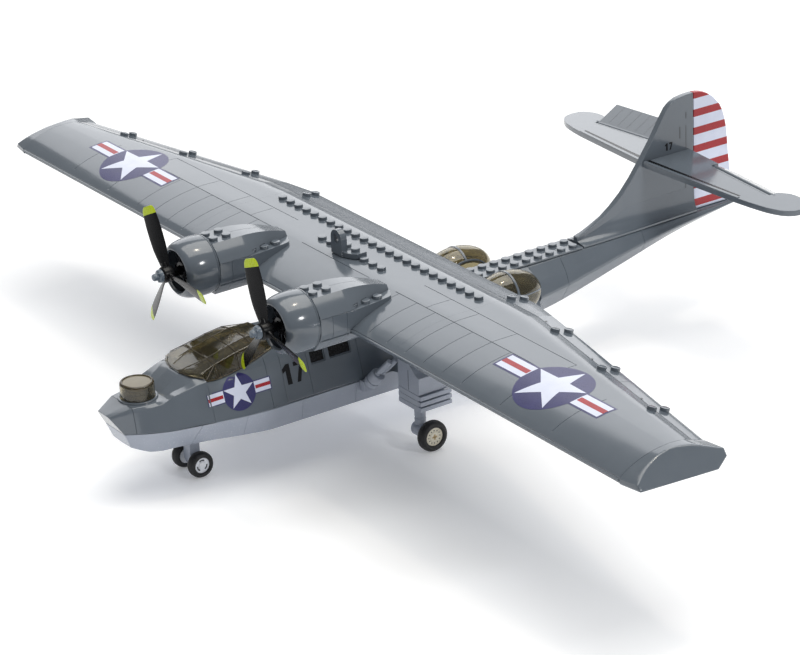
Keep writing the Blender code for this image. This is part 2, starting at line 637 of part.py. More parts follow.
def build_nacelle(side, hand):
    x = side * ENGINE_X
    profile = [(11.8, 18.0), (13.0, 17.6), (14.4, 16.0), (15.6, 12.6), (16.2, 8.0), (15.9, 0.0), (13.4, 0.0), (13.7, 9.0),
               (13.0, 13.5), (11.2, 16.6), (11.8, 18.0)]
    turned("cowl_" + hand, profile, (x, COWL_REAR_Y, ENGINE_Z), (0, -1, 0), "grey", steps=28)
    # block behind the cowl: studded on top, astride the wing
    half = [(NACELLE_HALF, BASE_TOP_Z), (NACELLE_HALF, -10.0), (14.0, -14.2), (8.0, -21.0)]
    bm = bmesh.new()
    add_loft(bm, [[(x + a * k, y, b) for a, b in half] + [(x - a * k, y, b) for a, b in reversed(half)]
                  for y, k in ((COWL_REAR_Y + GAP, 1.0), (-58.0, 1.0), (-33.0, 0.80), (-28.6, 0.40))])
    block = mesh_object("nacelle_" + hand, bm, "grey")
    bm = bmesh.new()
    top = ROOT_TOP[:-2]
    wing = [(LEAD_Y - GAP, WING_BOTTOM_Z - GAP)] + [(a - GAP * 0.8, b + GAP) for a, b in top]
    wing += [(3.0, -30.0), (-50.0, -30.0), (-50.0, WING_BOTTOM_Z - GAP)]
    add_prism(bm, wing, x - 20, x + 20, "x")
    cut(block, bm, "wing")
    bm = bmesh.new()
    edge_studs = [(x + way * dx, y) for way in (-1, 1) for dx, y in ((12.0, -55.5), (11.9, -47.5), (10.8, -39.5))]
    for a, b in edge_studs:
        add_stud(bm, a, b, BASE_TOP_Z, sunk=0.4)
    join(block, bm, "studs")
    # fairing on top: flat and studded in front, narrowing and falling behind
    bm = bmesh.new()
    rings = []
    low = BASE_TOP_Z + GAP
    for y, wide, top, flat in ((COWL_REAR_Y + GAP, 16.0, 7.9, 8.5), (-60.0, 16.0, 7.9, 8.5), (-57.0, 15.4, 7.8, 8.3),
                               (-50.0, 12.4, 7.1, 7.6), (-44.0, 9.9, 6.0, 6.8), (-38.0, 7.9, 4.4, 5.6),
                               (-33.0, 6.4, 2.8, 4.6), (-28.6, 5.0, 1.2, 3.8)):
        bend = low + 0.30 * (top - low)
        edge = flat + 0.80 * (wide - flat)
        rings.append([(x + wide, y, low), (x + edge, y, bend), (x + flat, y, top), (x - flat, y, top),
                      (x - edge, y, bend), (x - wide, y, low)])
    add_loft(bm, rings)
    fairing = mesh_object("fairing_" + hand, bm, "grey")
    bm = bmesh.new()
    for a, b in edge_studs:
        add_rod(bm, (a, b, -3.0), (a, b, BASE_TOP_Z + STUD_HEIGHT + GAP), STUD_RADIUS + GAP, STUD_SIDES)
    cut(fairing, bm, "notches")
    bm = bmesh.new()
    for dx in (-4.0, 4.0):
        for y in (-73.6, -65.6):
            add_stud(bm, x + dx, y, 7.9)
    join(fairing, bm, "studs")
    bm = bmesh.new()
    add_rod(bm, (x, -91.5, ENGINE_Z), (x, COWL_REAR_Y - 0.6, ENGINE_Z), 6.5, 16)
    engine = mesh_object("engine_" + hand, bm, "black", smooth=40)
    bm = bmesh.new()
    for i in range(7):
        a = math.radians(90 + i * 360 / 7)
        c, s = math.cos(a), math.sin(a)
        add_rod(bm, (x + 4 * c, -87.0, ENGINE_Z + 4 * s), (x + 12.2 * c, -87.0, ENGINE_Z + 12.2 * s), 2.1, 8)
    join(engine, bm, "cylinders")
    bm = bmesh.new()
    add_rod(bm, (x, -95, ENGINE_Z), (x, -80.5, ENGINE_Z), AXLE_RADIUS + RUNNING_GAP, 12)
    cut(engine, bm, "bore")
    build_propeller(side, hand)


def build_propeller(side, hand):
    x = side * ENGINE_X
    bm = bmesh.new()
    add_rod(bm, (x, -103.6, ENGINE_Z), (x, -97.6, ENGINE_Z), 4.4, 14)
    hub = mesh_object("propeller_" + hand, bm, "black")
    blades = bmesh.new()
    for i in range(3):
        a = math.radians(90 + PROP_LEAN[hand] + i * 120)
        out = Vector((math.cos(a), 0, math.sin(a)))
        across = Vector((-math.sin(a), 0, math.cos(a)))
        aft = Vector((0, 1, 0))
        rings = []
        for r, half, twist in ((2.5, 2.0, 42), (8.0, 3.2, 36), (16.0, 4.5, 29), (26.0, 4.9, 24), (34.0, 4.5, 21),
                               (PROP_RADIUS - 0.9, 3.8, 20), (PROP_RADIUS, 2.6, 20)):
            t = math.radians(twist)
            wide = across * math.cos(t) - aft * math.sin(t)
            thin = (out.cross(wide)) * 0.6
            middle = Vector((x, PROP_Y, ENGINE_Z)) + out * r
            rings.append([tuple(middle + wide * half - thin * 0.4), tuple(middle + thin),
                          tuple(middle - wide * half - thin * 0.4), tuple(middle - thin)])
        add_loft(blades, rings)
    join(hub, blades, "blades")
    bm = bmesh.new()
    add_rod(bm, (x, -98.2, ENGINE_Z), (x, -81.5, ENGINE_Z), AXLE_RADIUS, 12)
    join(hub, bm, "axle")
    set_origin(hub, x, PROP_Y, ENGINE_Z)
    spin = bmesh.new()
    add_rod(spin, (x, -103.9, ENGINE_Z), (x, -106.0, ENGINE_Z), 3.6, 14, 3.2)
    nose = mesh_object("spinner_" + hand, spin, "steel_grey")
    knob = bmesh.new()
    add_rod(knob, (x, -105.5, ENGINE_Z), (x, -109.2, ENGINE_Z), 2.0, 12, 1.7)
    join(nose, knob, "knob")
    set_origin(nose, x, PROP_Y, ENGINE_Z)


# Landing gear

def tyre(name, x, y, z, radius, width, hole):
    half = width / 2
    profile = [(hole, half - 0.6), (radius - 1.6, half), (radius - 0.4, half - 1.0), (radius, half - 2.0),
               (radius, -half + 2.0), (radius - 0.4, -half + 1.0), (radius - 1.6, -half), (hole, -half + 0.6),
               (hole, half - 0.6)]
    return turned(name, profile, (x, y, z), (1, 0, 0), "rubber", steps=24)


def build_nose_gear():
    z = GROUND_Z + NOSE_WHEEL_RADIUS
    y = NOSE_AXLE_Y
    for side, hand in ((1, "left"), (-1, "right")):
        tyre("nose_tyre_" + hand, side * NOSE_WHEEL_X, y, z, NOSE_WHEEL_RADIUS, TYRE_WIDTH, 4.4)
    bm = bmesh.new()
    add_rod(bm, (-NOSE_WHEEL_X - 2.6, y, z), (NOSE_WHEEL_X + 2.6, y, z), WHEEL_AXLE_RADIUS, 12)
    axle = mesh_object("nose_hubs", bm, "cream")
    bm = bmesh.new()
    for side in (1, -1):
        add_rod(bm, (side * (NOSE_WHEEL_X - 2.4), y, z), (side * (NOSE_WHEEL_X + 2.4), y, z), 4.1, 20)
    join(axle, bm, "discs")
    set_origin(axle, 0, y, z)
    bm = bmesh.new()
    add_box(bm, (-3.4, y - 3.0, -91.8), (3.4, y + 3.0, -65.9 - GAP))
    leg = mesh_object("nose_leg", bm, "light_grey")
    bm = bmesh.new()
    add_box(bm, (-5.8, y - 8.0, -69.4), (5.8, y + 8.0, -65.9 - GAP))
    join(leg, bm, "foot")
    bm = bmesh.new()
    add_rod(bm, (-6, y, z), (6, y, z), WHEEL_AXLE_RADIUS + RUNNING_GAP, 12)
    cut(leg, bm, "bore")


def build_main_gear(side, hand):
    z = GROUND_Z + MAIN_WHEEL_RADIUS
    y = MAIN_AXLE_Y
    x = side * MAIN_WHEEL_X
    tyre("main_tyre_" + hand, x, y, z, MAIN_WHEEL_RADIUS, TYRE_WIDTH, 5.3)
    bm = bmesh.new()
    add_rod(bm, (x - side * 2.4, y, z), (x + side * 2.4, y, z), 5.0, 20)
    hub = mesh_object("main_hub_" + hand, bm, "cream")
    bm = bmesh.new()
    add_rod(bm, (side * 43.5, y, z), (x, y, z), WHEEL_AXLE_RADIUS, 12)
    join(hub, bm, "axle")
    set_origin(hub, x, y, z)
    # leg below the housing
    bm = bmesh.new()
    add_rod(bm, (side * 48.5, y, z), (side * 48.5, y, -69.8 - GAP), 3.1, 12)
    leg = mesh_object("main_leg_" + hand, bm, "light_grey")
    bm = bmesh.new()
    add_rod(bm, (side * 45.0, y, z), (side * 52.6, y, z), 4.0, 14)
    join(leg, bm, "boss")
    bm = bmesh.new()
    add_rod(bm, (side * 40, y, z), (side * 58, y, z), WHEEL_AXLE_RADIUS + RUNNING_GAP, 12)
    cut(leg, bm, "bore")
    # housing: a curved slope over a stack of three plates
    bm = bmesh.new()
    arc = [(side * (45 + 19 * math.sin(math.radians(a))), -60.0 + 17.0 * math.cos(math.radians(a)) ** 0.8 if a < 90 else -60.0)
           for a in (0, 20, 38, 54)]
    outline = arc + [(side * 64, -50.5), (side * 64, -60.0), (side * 45, -60.0)]
    add_prism(bm, outline, -20.0, -4.0, "y")
    housing = mesh_object("gear_housing_" + hand, bm, "light_grey")
    bm = bmesh.new()
    add_box(bm, (side * 45.0, -20.0, -69.5), (side * 63.0, -2.0, -59.0))
    join(housing, bm, "core")
    bm = bmesh.new()
    add_rod(bm, (side * 47.4, -16.5, -43.6), (side * 47.4, -9.5, -43.6), 2.3, 12)
    join(housing, bm, "knuckle")
    bm = bmesh.new()
    for i in range(3):
        top = -60.3 - PLATE * i
        add_box(bm, (side * 45.0, -20.0, top - 2.3), (side * 65.5, -0.5, top))
    join(housing, bm, "plates")
    # strut from the hull side up to the housing, and a level arm behind it
    bm = bmesh.new()
    add_rod(bm, (side * 30.7, -28.4, -61.8), (side * 36.0, -25.8, -55.2), 4.0, 14)
    strut = mesh_object("strut_" + hand, bm, "light_grey")
    bm = bmesh.new()
    add_box(bm, (side * (26.8 + GAP), -32.4, -66.0), (side * 31.0, -24.4, -60.0))
    join(strut, bm, "lug")
    bm = bmesh.new()
    for dy in (-1.9, 1.9):
        add_rod(bm, (side * 34.0, -26.0 + dy, -57.3), (side * 43.3, -21.6 + dy, -46.4), 1.6, 10)
    join(strut, bm, "rods")
    bm = bmesh.new()
    add_prism(bm, [(side * 25.7, -55.0), (side * 44.7, -51.0), (side * 44.7, -56.0), (side * 27.1, -60.0)],
              -14.0, -9.0, "y")
    mesh_object("gear_arm_" + hand, bm, "grey")


def build_mast():
    x = -4.0
    bm = bmesh.new()
    add_prism(bm, [(-13.0, -12.2), (-13.0, -18.6), (-10.5, -20.6), (-7.5, -22.1), (-4.0, -22.8), (0.0, -22.6), (3.5, -21.6),
                   (6.5, -20.2), (9.0, -18.2), (9.0, -12.2)], SURFACE_Z + GAP, SURFACE_Z + PLATE, "z")
    mast = mesh_object("mast_bracket", bm, "grey")
    bm = bmesh.new()
    add_box(bm, (x - 5.0, -22.8, SURFACE_Z + GAP), (x + 5.0, -19.0, 7.9))
    join(mast, bm, "lug")
    bm = bmesh.new()
    add_rod(bm, (x, -22.8, 7.6), (x, -19.0, 7.6), 5.0, 20)
    join(mast, bm, "round")
    bm = bmesh.new()
    for dx in (-6, 2, 10):
        add_stud(bm, x + dx - 2, -16.0, SURFACE_Z + PLATE)
    join(mast, bm, "studs")
    bm = bmesh.new()
    add_rod(bm, (x, -26, 7.9), (x, -10, 7.9), 2.4, 12)
    cut(mast, bm, "hole")


clear_scene()
parts = new_collection("flying_boat")
cutters = new_collection("cutters")
build_wing()
build_pylon()
build_bow()
build_cockpit()
build_cabin()
build_blisters()
build_boom()
build_hull_bottom()
build_glass()
build_interior()
build_tail()
for direction, which in ((1, "left"), (-1, "right")):
    build_nacelle(direction, which)
    build_main_gear(direction, which)
build_nose_gear()
build_mast()
cutters.hide_render = True
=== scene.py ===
import json
import math

import bmesh
import bpy
from mathutils import Matrix, Vector


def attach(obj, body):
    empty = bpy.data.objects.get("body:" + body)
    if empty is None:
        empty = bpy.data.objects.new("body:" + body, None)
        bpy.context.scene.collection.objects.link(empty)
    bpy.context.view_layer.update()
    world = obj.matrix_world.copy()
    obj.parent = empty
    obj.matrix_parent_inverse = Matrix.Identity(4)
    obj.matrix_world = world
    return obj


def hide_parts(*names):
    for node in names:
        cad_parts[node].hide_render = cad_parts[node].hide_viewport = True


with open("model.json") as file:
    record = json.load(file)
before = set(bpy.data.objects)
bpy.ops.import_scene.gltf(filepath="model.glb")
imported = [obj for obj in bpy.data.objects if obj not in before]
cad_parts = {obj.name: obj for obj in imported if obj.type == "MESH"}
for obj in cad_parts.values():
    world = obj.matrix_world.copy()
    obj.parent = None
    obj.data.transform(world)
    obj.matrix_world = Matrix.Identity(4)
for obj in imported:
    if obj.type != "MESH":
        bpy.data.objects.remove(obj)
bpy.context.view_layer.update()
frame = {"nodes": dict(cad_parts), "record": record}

mm = 0.001


def at(x, y, z):
    # station point in millimetres (x port, y aft, z up) to the shared frame in metres
    return Vector((x * mm, (y - 36.75) * mm, (z + 96.0) * mm))


def linear(hexColour):
    def channel(pair):
        c = int(pair, 16) / 255
        return c / 12.92 if c <= 0.04045 else ((c + 0.055) / 1.055) ** 2.4
    return tuple(channel(hexColour[i:i + 2]) for i in (1, 3, 5)) + (1.0,)


def addNode(tree, kind, settings=None, links=None):
    node = tree.nodes.new(kind)
    for key, value in (settings or {}).items():
        setattr(node, key, value)
    for key, value in (links or {}).items():
        if isinstance(value, bpy.types.NodeSocket):
            tree.links.new(value, node.inputs[key])
        else:
            node.inputs[key].default_value = value
    return node


def newMaterial(name):
    made = bpy.data.materials.new(name)
    made.use_nodes = True
    tree = made.node_tree
    place = addNode(tree, "ShaderNodeTexCoord").outputs["Object"]
    return made, tree, tree.nodes["Principled BSDF"], place


def noiseAt(tree, place, size, detail=2.0, roughness=0.5, seed=0.0):
    # size is the width of one blotch in millimetres
    shift = addNode(tree, "ShaderNodeVectorMath", {"operation": "ADD"}, {0: place, 1: (seed, seed * 0.7, seed * 1.3)})
    made = addNode(tree, "ShaderNodeTexNoise", None, {"Vector": shift.outputs[0], "Scale": 1.0 / (size * mm),
                                                      "Detail": detail, "Roughness": roughness})
    return made.outputs["Fac"]


def spread(tree, value, low, high, start=0.3, end=0.7):
    made = addNode(tree, "ShaderNodeMapRange", None, {"Value": value, "From Min": start, "From Max": end,
                                                      "To Min": low, "To Max": high})
    return made.outputs["Result"]


def blendColour(tree, amount, first, second):
    made = addNode(tree, "ShaderNodeMix", {"data_type": "RGBA"})
    for index, value in ((0, amount), (6, first), (7, second)):
        if isinstance(value, bpy.types.NodeSocket):
            tree.links.new(value, made.inputs[index])
        else:
            made.inputs[index].default_value = value
    return made.outputs[2]


def bumps(tree, layers):
    # layers hold height value, depth in millimetres and strength, deepest first
    normal = None
    for height, depth, strength in layers:
        made = addNode(tree, "ShaderNodeBump", None, {"Height": height, "Distance": depth * mm, "Strength": strength})
        if normal:
            tree.links.new(normal, made.inputs["Normal"])
        normal = made.outputs["Normal"]
    return normal


def mouldedPlastic(name, colour, shade, rough=0.2, wave=0.10, blotch=9.0, sheen=0.0):
    # injection moulded ABS: even colour, clear gloss, a slow sink under the skin and a fine grain
    made, tree, shader, place = newMaterial(name)
    slow = noiseAt(tree, place, blotch, 3.0)
    fine = noiseAt(tree, place, 0.9, 4.0, 0.6, 3.1)
    sink = noiseAt(tree, place, 17.0, 1.0, 0.4, 7.7)
    tree.links.new(blendColour(tree, spread(tree, slow, 0.0, 1.0), linear(colour), linear(shade)), shader.inputs["Base Color"])
    tree.links.new(spread(tree, fine, rough - 0.05, rough + 0.07), shader.inputs["Roughness"])
    tree.links.new(bumps(tree, [(sink, wave, 0.35), (fine, 0.004, 0.12)]), shader.inputs["Normal"])
    shader.inputs["IOR"].default_value = 1.54
    shader.inputs["Coat Weight"].default_value = sheen
    shader.inputs["Coat Roughness"].default_value = 0.08
    return made


def printedFilm(name, colour, shade):
    # pad print: a thin even ink, a little flatter than the plastic round it, with a faint screen grain
    made, tree, shader, place = newMaterial(name)
    grain = noiseAt(tree, place, 0.35, 2.0, 0.5, 1.4)
    slow = noiseAt(tree, place, 6.0, 2.0, 0.5, 5.2)
    tree.links.new(blendColour(tree, spread(tree, slow, 0.0, 1.0), linear(colour), linear(shade)), shader.inputs["Base Color"])
    tree.links.new(spread(tree, grain, 0.26, 0.38), shader.inputs["Roughness"])
    tree.links.new(bumps(tree, [(grain, 0.006, 0.2)]), shader.inputs["Normal"])
    shader.inputs["IOR"].default_value = 1.5
    return made


def smokedClear(name, colour, shade, rough=0.04):
    # see-through smoked polycarbonate: brown through the wall, clear gloss outside, faint handling marks
    made, tree, shader, place = newMaterial(name)
    slow = noiseAt(tree, place, 12.0, 2.0, 0.5, 2.2)
    marks = noiseAt(tree, place, 2.2, 4.0, 0.65, 8.1)
    tree.links.new(blendColour(tree, spread(tree, slow, 0.0, 1.0), linear(colour), linear(shade)), shader.inputs["Base Color"])
    tree.links.new(spread(tree, marks, rough, rough + 0.09, 0.45, 0.75), shader.inputs["Roughness"])
    tree.links.new(bumps(tree, [(slow, 0.05, 0.2)]), shader.inputs["Normal"])
    shader.inputs["Transmission Weight"].default_value = 0.92
    shader.inputs["IOR"].default_value = 1.586
    return made


def wheelRubber(name):
    # soft black moulded rubber: dull, dusty on its high spots, fine grain
    made, tree, shader, place = newMaterial(name)
    dust = noiseAt(tree, place, 3.0, 5.0, 0.6, 4.0)
    grain = noiseAt(tree, place, 0.3, 3.0, 0.6, 9.0)
    tree.links.new(blendColour(tree, spread(tree, dust, 0.0, 0.55, 0.5, 0.8), linear("#141416"), linear("#3a3937")), shader.inputs["Base Color"])
    tree.links.new(spread(tree, grain, 0.42, 0.62), shader.inputs["Roughness"])
    tree.links.new(bumps(tree, [(grain, 0.03, 0.4)]), shader.inputs["Normal"])
    shader.inputs["IOR"].default_value = 1.52
    return made


def paperSweep(name):
    # the white paper sweep under the model: matt, with a barely seen mottle and an even painted glow
    made, tree, shader, place = newMaterial(name)
    mottle = noiseAt(tree, place, 60.0, 4.0, 0.6)
    fibre = noiseAt(tree, place, 0.8, 3.0, 0.6, 2.0)
    tree.links.new(blendColour(tree, spread(tree, mottle, 0.0, 1.0), linear("#f7f8fa"), linear("#f4f5f7")), shader.inputs["Base Color"])
    tree.links.new(spread(tree, fibre, 0.62, 0.75), shader.inputs["Roughness"])
    tree.links.new(bumps(tree, [(fibre, 0.02, 0.1)]), shader.inputs["Normal"])
    shader.inputs["Emission Color"].default_value = linear("#f7f8fa")
    shader.inputs["Emission Strength"].default_value = 0.2    # painted glow: the sheet gives off light of its own, lifting the shadows on it and lighting the model from below
    return made


# glossy blue-grey ABS of the top side, light grey ABS below, and the small coloured parts
upperGrey = mouldedPlastic("upperGreyAbs", "#616972", "#5e666f", 0.15, 0.16, 14.0, 0.3)
lowerGrey = mouldedPlastic("lowerGreyAbs", "#a1a7b4", "#9ca3b0", 0.22, 0.08, 12.0)
blackAbs = mouldedPlastic("blackAbs", "#0f1013", "#0b0c0e", 0.26, 0.06, 7.0)
blackAbs.node_tree.nodes["Principled BSDF"].inputs["Specular IOR Level"].default_value = 0.22
steelGrey = mouldedPlastic("steelGreyAbs", "#66727f", "#5a6672", 0.26, 0.05, 4.0)
tanAbs = mouldedPlastic("tanAbs", "#b89f73", "#ad946a", 0.30, 0.06, 6.0)
creamAbs = mouldedPlastic("creamAbs", "#dcd6c4", "#d2cbb8", 0.28, 0.04, 4.0)
whiteAbs = mouldedPlastic("whiteAbs", "#eceef2", "#e2e5eb", 0.24, 0.04, 5.0)
limeAbs = mouldedPlastic("limeAbs", "#c3d61f", "#b6c91b", 0.28, 0.04, 4.0)
darkPin = mouldedPlastic("darkPinAbs", "#3c4147", "#33373c", 0.34, 0.04, 3.0)
smokeClear = smokedClear("smokedPolycarbonate", "#9c9273", "#92896a")
smokeEdge = mouldedPlastic("smokedEdge", "#463d2b", "#3c3424", 0.22, 0.03, 5.0)
tyreRubber = wheelRubber("blackRubber")
inkBlue = printedFilm("printBlue", "#2b2a63", "#28275c")
inkWhite = printedFilm("printWhite", "#d9def0", "#d3d9ec")
inkRed = printedFilm("printRed", "#a5131f", "#9b111c")
inkBlack = printedFilm("printBlack", "#0c0c10", "#101014")
inkBlack.node_tree.nodes["Principled BSDF"].inputs["Specular IOR Level"].default_value = 0.22
smokedTop = mouldedPlastic("smokedTanTop", "#6f6548", "#665c40", 0.2, 0.05, 5.0)
print("materials ready")


# mesh tools

def put(bm, part, finish=0, rounding=0.25, segments=2, angle=30):
    # rounds the sharp edges of one solid and adds it to a piece
    bmesh.ops.recalc_face_normals(part, faces=part.faces)
    if rounding:
        edges = [e for e in part.edges if len(e.link_faces) == 2 and e.calc_face_angle(0) > math.radians(angle)]
        bmesh.ops.bevel(part, geom=edges, offset=rounding * mm, segments=segments, affect="EDGES", clamp_overlap=True, profile=0.6)
    if finish is not None:
        for face in part.faces:
            face.material_index = finish
    mesh = bpy.data.meshes.new("solid")
    part.to_mesh(mesh)
    part.free()
    bm.from_mesh(mesh)
    bpy.data.meshes.remove(mesh)


def box(bm, low, high, finish=0, rounding=0.25):
    part = bmesh.new()
    size = [abs(b - a) * mm for a, b in zip(low, high)]
    centre = at(*[(a + b) / 2 for a, b in zip(low, high)])
    bmesh.ops.create_cube(part, size=1.0, matrix=Matrix.Translation(centre) @ Matrix.Diagonal((*size, 1.0)))
    put(bm, part, finish, rounding)


def prism(bm, outline, low, high, axis, finish=0, rounding=0.25, bend=None):
    order = {"x": lambda a, b, c: (c, a, b), "y": lambda a, b, c: (a, c, b), "z": lambda a, b, c: (a, b, c)}[axis]
    part = bmesh.new()
    near = [part.verts.new(at(*order(a, b, low))) for a, b in outline]
    far = [part.verts.new(at(*order(a, b, high))) for a, b in outline]
    for i in range(len(near)):
        j = (i + 1) % len(near)
        part.faces.new((near[i], near[j], far[j], far[i]))
    part.faces.new(near[::-1])
    part.faces.new(far)
    if bend:
        for vertex in part.verts:
            vertex.co = bend(vertex.co)
    put(bm, part, finish, rounding)


def rod(bm, start, end, radius, endRadius=None, steps=24, finish=0, rounding=0.2):
    far = radius if endRadius is None else endRadius
    long = (Vector(end) - Vector(start)).length
    edge = min(rounding, radius * 0.4, far * 0.4, long * 0.4)
    turned(bm, [(0, 0), (radius - edge, 0), (radius - edge * 0.3, edge * 0.3), (radius, edge), (far, long - edge),
                (far - edge * 0.3, long - edge * 0.3), (far - edge, long), (0, long)],
           start, Vector(end) - Vector(start), steps, finish)


def turned(bm, profile, centre, axis, steps=32, finish=0, closed=False, finishes=None):
    # profile holds (radius, height) along the axis
    part = bmesh.new()
    turn = Vector(axis).to_track_quat("Z", "Y")
    rows = []
    for radius, height in profile:
        count = 1 if radius < 1e-4 else steps
        row = []
        for i in range(count):
            a = 2 * math.pi * i / steps
            point = Vector(centre) + turn @ Vector((radius * math.cos(a), radius * math.sin(a), height))
            row.append(part.verts.new(at(*point)))
        rows.append(row)
    pairs = list(zip(rows, rows[1:] + ([rows[0]] if closed else [])))
    for k, (a, b) in enumerate(pairs):
        for i in range(steps):
            j = (i + 1) % steps
            corner = []
            for v in (a[i % len(a)], a[j % len(a)], b[j % len(b)], b[i % len(b)]):
                if v not in corner:
                    corner.append(v)
            if len(corner) > 2:
                face = part.faces.new(corner)
                face.material_index = finishes[k] if finishes else finish
    put(bm, part, None, 0)


def skin(bm, columns, finish=0, rounding=0, caps=True, loop=True):
    part = bmesh.new()
    rows = [[part.verts.new(at(*p)) for p in column] for column in columns]
    count = len(rows[0])
    for a, b in zip(rows, rows[1:]):
        for i in range(count if loop else count - 1):
            j = (i + 1) % count
            part.faces.new((a[i], a[j], b[j], b[i]))
    if caps:
        part.faces.new(rows[0][::-1])
        part.faces.new(rows[-1])
    put(bm, part, finish, rounding)


def stud(bm, x, y, z, up=(0, 0, 1), finish=0):
    turned(bm, [(0, -0.5), (2.4, -0.5), (2.4, 1.42), (2.33, 1.6), (2.12, 1.7), (1.0, 1.7), (0, 1.7)], (x, y, z), up, 24, finish)


def loose(name, bm, *finishes):
    mesh = bpy.data.meshes.new(name)
    bm.to_mesh(mesh)
    bm.free()
    item = bpy.data.objects.new(name, mesh)
    for finish in finishes:
        mesh.materials.append(finish)
    bpy.context.scene.collection.objects.link(item)
    return item


def carve(item, cutter, operation="DIFFERENCE"):
    change = item.modifiers.new("carve", "BOOLEAN")
    change.operation = operation
    change.object = cutter
    change.solver = "EXACT"
    mesh = bpy.data.meshes.new_from_object(item.evaluated_get(bpy.context.evaluated_depsgraph_get()))
    item.modifiers.clear()
    item.data = mesh
    bpy.data.objects.remove(cutter, do_unlink=True)
    return item


def settle(item, body, slot, *nodes, smooth=38):
    # smooth faces with crisp edges, then onto its body in place of the CAD nodes
    item.data.shade_smooth()
    item.data.set_sharp_from_angle(angle=math.radians(smooth))
    weigh = item.modifiers.new("weigh", "WEIGHTED_NORMAL")
    weigh.keep_sharp = True
    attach(item, body)
    if nodes:
        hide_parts(*nodes)
    return item


def smoothAt(xs, ys, x):
    # a curve through every point that never overshoots
    if x <= xs[0]:
        return ys[0]
    if x >= xs[-1]:
        return ys[-1]
    k = max(i for i in range(len(xs) - 1) if xs[i] <= x)

    def slope(i):
        if i in (0, len(xs) - 1):
            j = 0 if i == 0 else len(xs) - 2
            return (ys[j + 1] - ys[j]) / (xs[j + 1] - xs[j])
        a = (ys[i] - ys[i - 1]) / (xs[i] - xs[i - 1])
        b = (ys[i + 1] - ys[i]) / (xs[i + 1] - xs[i])
        return 0.0 if a * b <= 0 else 2 * a * b / (a + b)
    h = xs[k + 1] - xs[k]
    t = (x - xs[k]) / h
    return ((2 * t ** 3 - 3 * t ** 2 + 1) * ys[k] + (t ** 3 - 2 * t ** 2 + t) * slope(k) * h
            + (3 * t ** 2 - 2 * t ** 3) * ys[k + 1] + (t ** 3 - t ** 2) * slope(k + 1) * h)


def bothSides(half):
    # half holds (x, z) from the top middle round to the bottom middle
    return list(half) + [(-x, z) for x, z in reversed(half) if x > 1e-6]


def ringAt(stations, y):
    # section between stations, each corner on its own smooth line
    ys = [s[0] for s in stations]
    return [(smoothAt(ys, [s[1][i][0] for s in stations], y), smoothAt(ys, [s[1][i][1] for s in stations], y))
            for i in range(len(stations[0][1]))]


def softened(ring, radius, steps=3):
    # each corner of a closed section becomes a short curve
    out = []
    for i, corner in enumerate(ring):
        p, a, b = Vector(corner), Vector(ring[i - 1]), Vector(ring[(i + 1) % len(ring)])
        start = p + (a - p) * min(0.42, radius / max((a - p).length, 1e-6))
        end = p + (b - p) * min(0.42, radius / max((b - p).length, 1e-6))
        for k in range(steps + 1):
            t = k / steps
            out.append(tuple(start * (1 - t) ** 2 + p * 2 * t * (1 - t) + end * t ** 2))
    return out


def inset(ring, depth):
    area = sum(ring[i - 1][0] * ring[i][1] - ring[i][0] * ring[i - 1][1] for i in range(len(ring)))
    way = 1 if area > 0 else -1
    out = []
    for i, (x, z) in enumerate(ring):
        (ax, az), (bx, bz) = ring[i - 1], ring[(i + 1) % len(ring)]
        dx, dz = bx - ax, bz - az
        long = math.hypot(dx, dz) or 1.0
        out.append((x - way * dz / long * depth, z + way * dx / long * depth))
    return out


def lengthwise(low, high, seams=(), step=3.0, edge=0.25, depth=0.35):
    # places along a hull block as (position, inset): rounded ends and narrow dark seams
    marks = {low: edge, low + edge: 0.0, high - edge: 0.0, high: edge}
    count = max(2, int((high - low) / step))
    for i in range(1, count):
        y = low + (high - low) * i / count
        if all(abs(y - s) > 0.5 for s in list(seams) + [low, high]):
            marks[y] = 0.0
    for s in seams:
        marks.update({s - 0.13: 0.0, s: depth, s + 0.13: 0.0})
    return sorted(marks.items())


def hullBlock(bm, ring, low, high, seams=(), step=3.0, radius=1.0, finish=0):
    columns = []
    for y, depth in lengthwise(low, high, seams, step):
        section = softened(ring(y), radius)
        if depth:
            section = inset(section, depth)
        columns.append([(x, y, z) for x, z in section])
    skin(bm, columns, finish)


def sideX(ring, z):
    # how far out the port side reaches at height z
    best = 0.0
    for i, (x1, z1) in enumerate(ring):
        x0, z0 = ring[i - 1]
        if (z0 - z) * (z1 - z) <= 0 and abs(z1 - z0) > 1e-9:
            best = max(best, x0 + (x1 - x0) * (z - z0) / (z1 - z0))
    return best


def film(bm, outline, lay, finish, lift, pitch=1.6, axis=1):
    # a printed shape: a flat outline cut into strips and laid on the surface
    part = bmesh.new()
    part.faces.new([part.verts.new((a, b, 0)) for a, b in outline])
    for k in (0, 1):
        values = [p[k] for p in outline]
        step = pitch if k == axis else pitch * 3
        cut = math.floor(min(values) / step + 1) * step
        while cut < max(values):
            normal = (1, 0, 0) if k == 0 else (0, 1, 0)
            bmesh.ops.bisect_plane(part, geom=part.verts[:] + part.edges[:] + part.faces[:],
                                   plane_co=(cut, 0, 0) if k == 0 else (0, cut, 0), plane_no=normal)
            cut += step
    for vertex in part.verts:
        vertex.co = at(*lay(vertex.co.x, vertex.co.y, lift))
    for face in part.faces:
        face.material_index = finish
    mesh = bpy.data.meshes.new("film")
    part.to_mesh(mesh)
    part.free()
    bm.from_mesh(mesh)
    bpy.data.meshes.remove(mesh)


def starOutline(radius, turn=0.0):
    return [(r * math.sin(math.radians(36 * i) + turn), r * math.cos(math.radians(36 * i) + turn))
            for i in range(10) for r in [radius if i % 2 == 0 else radius * 0.40]]


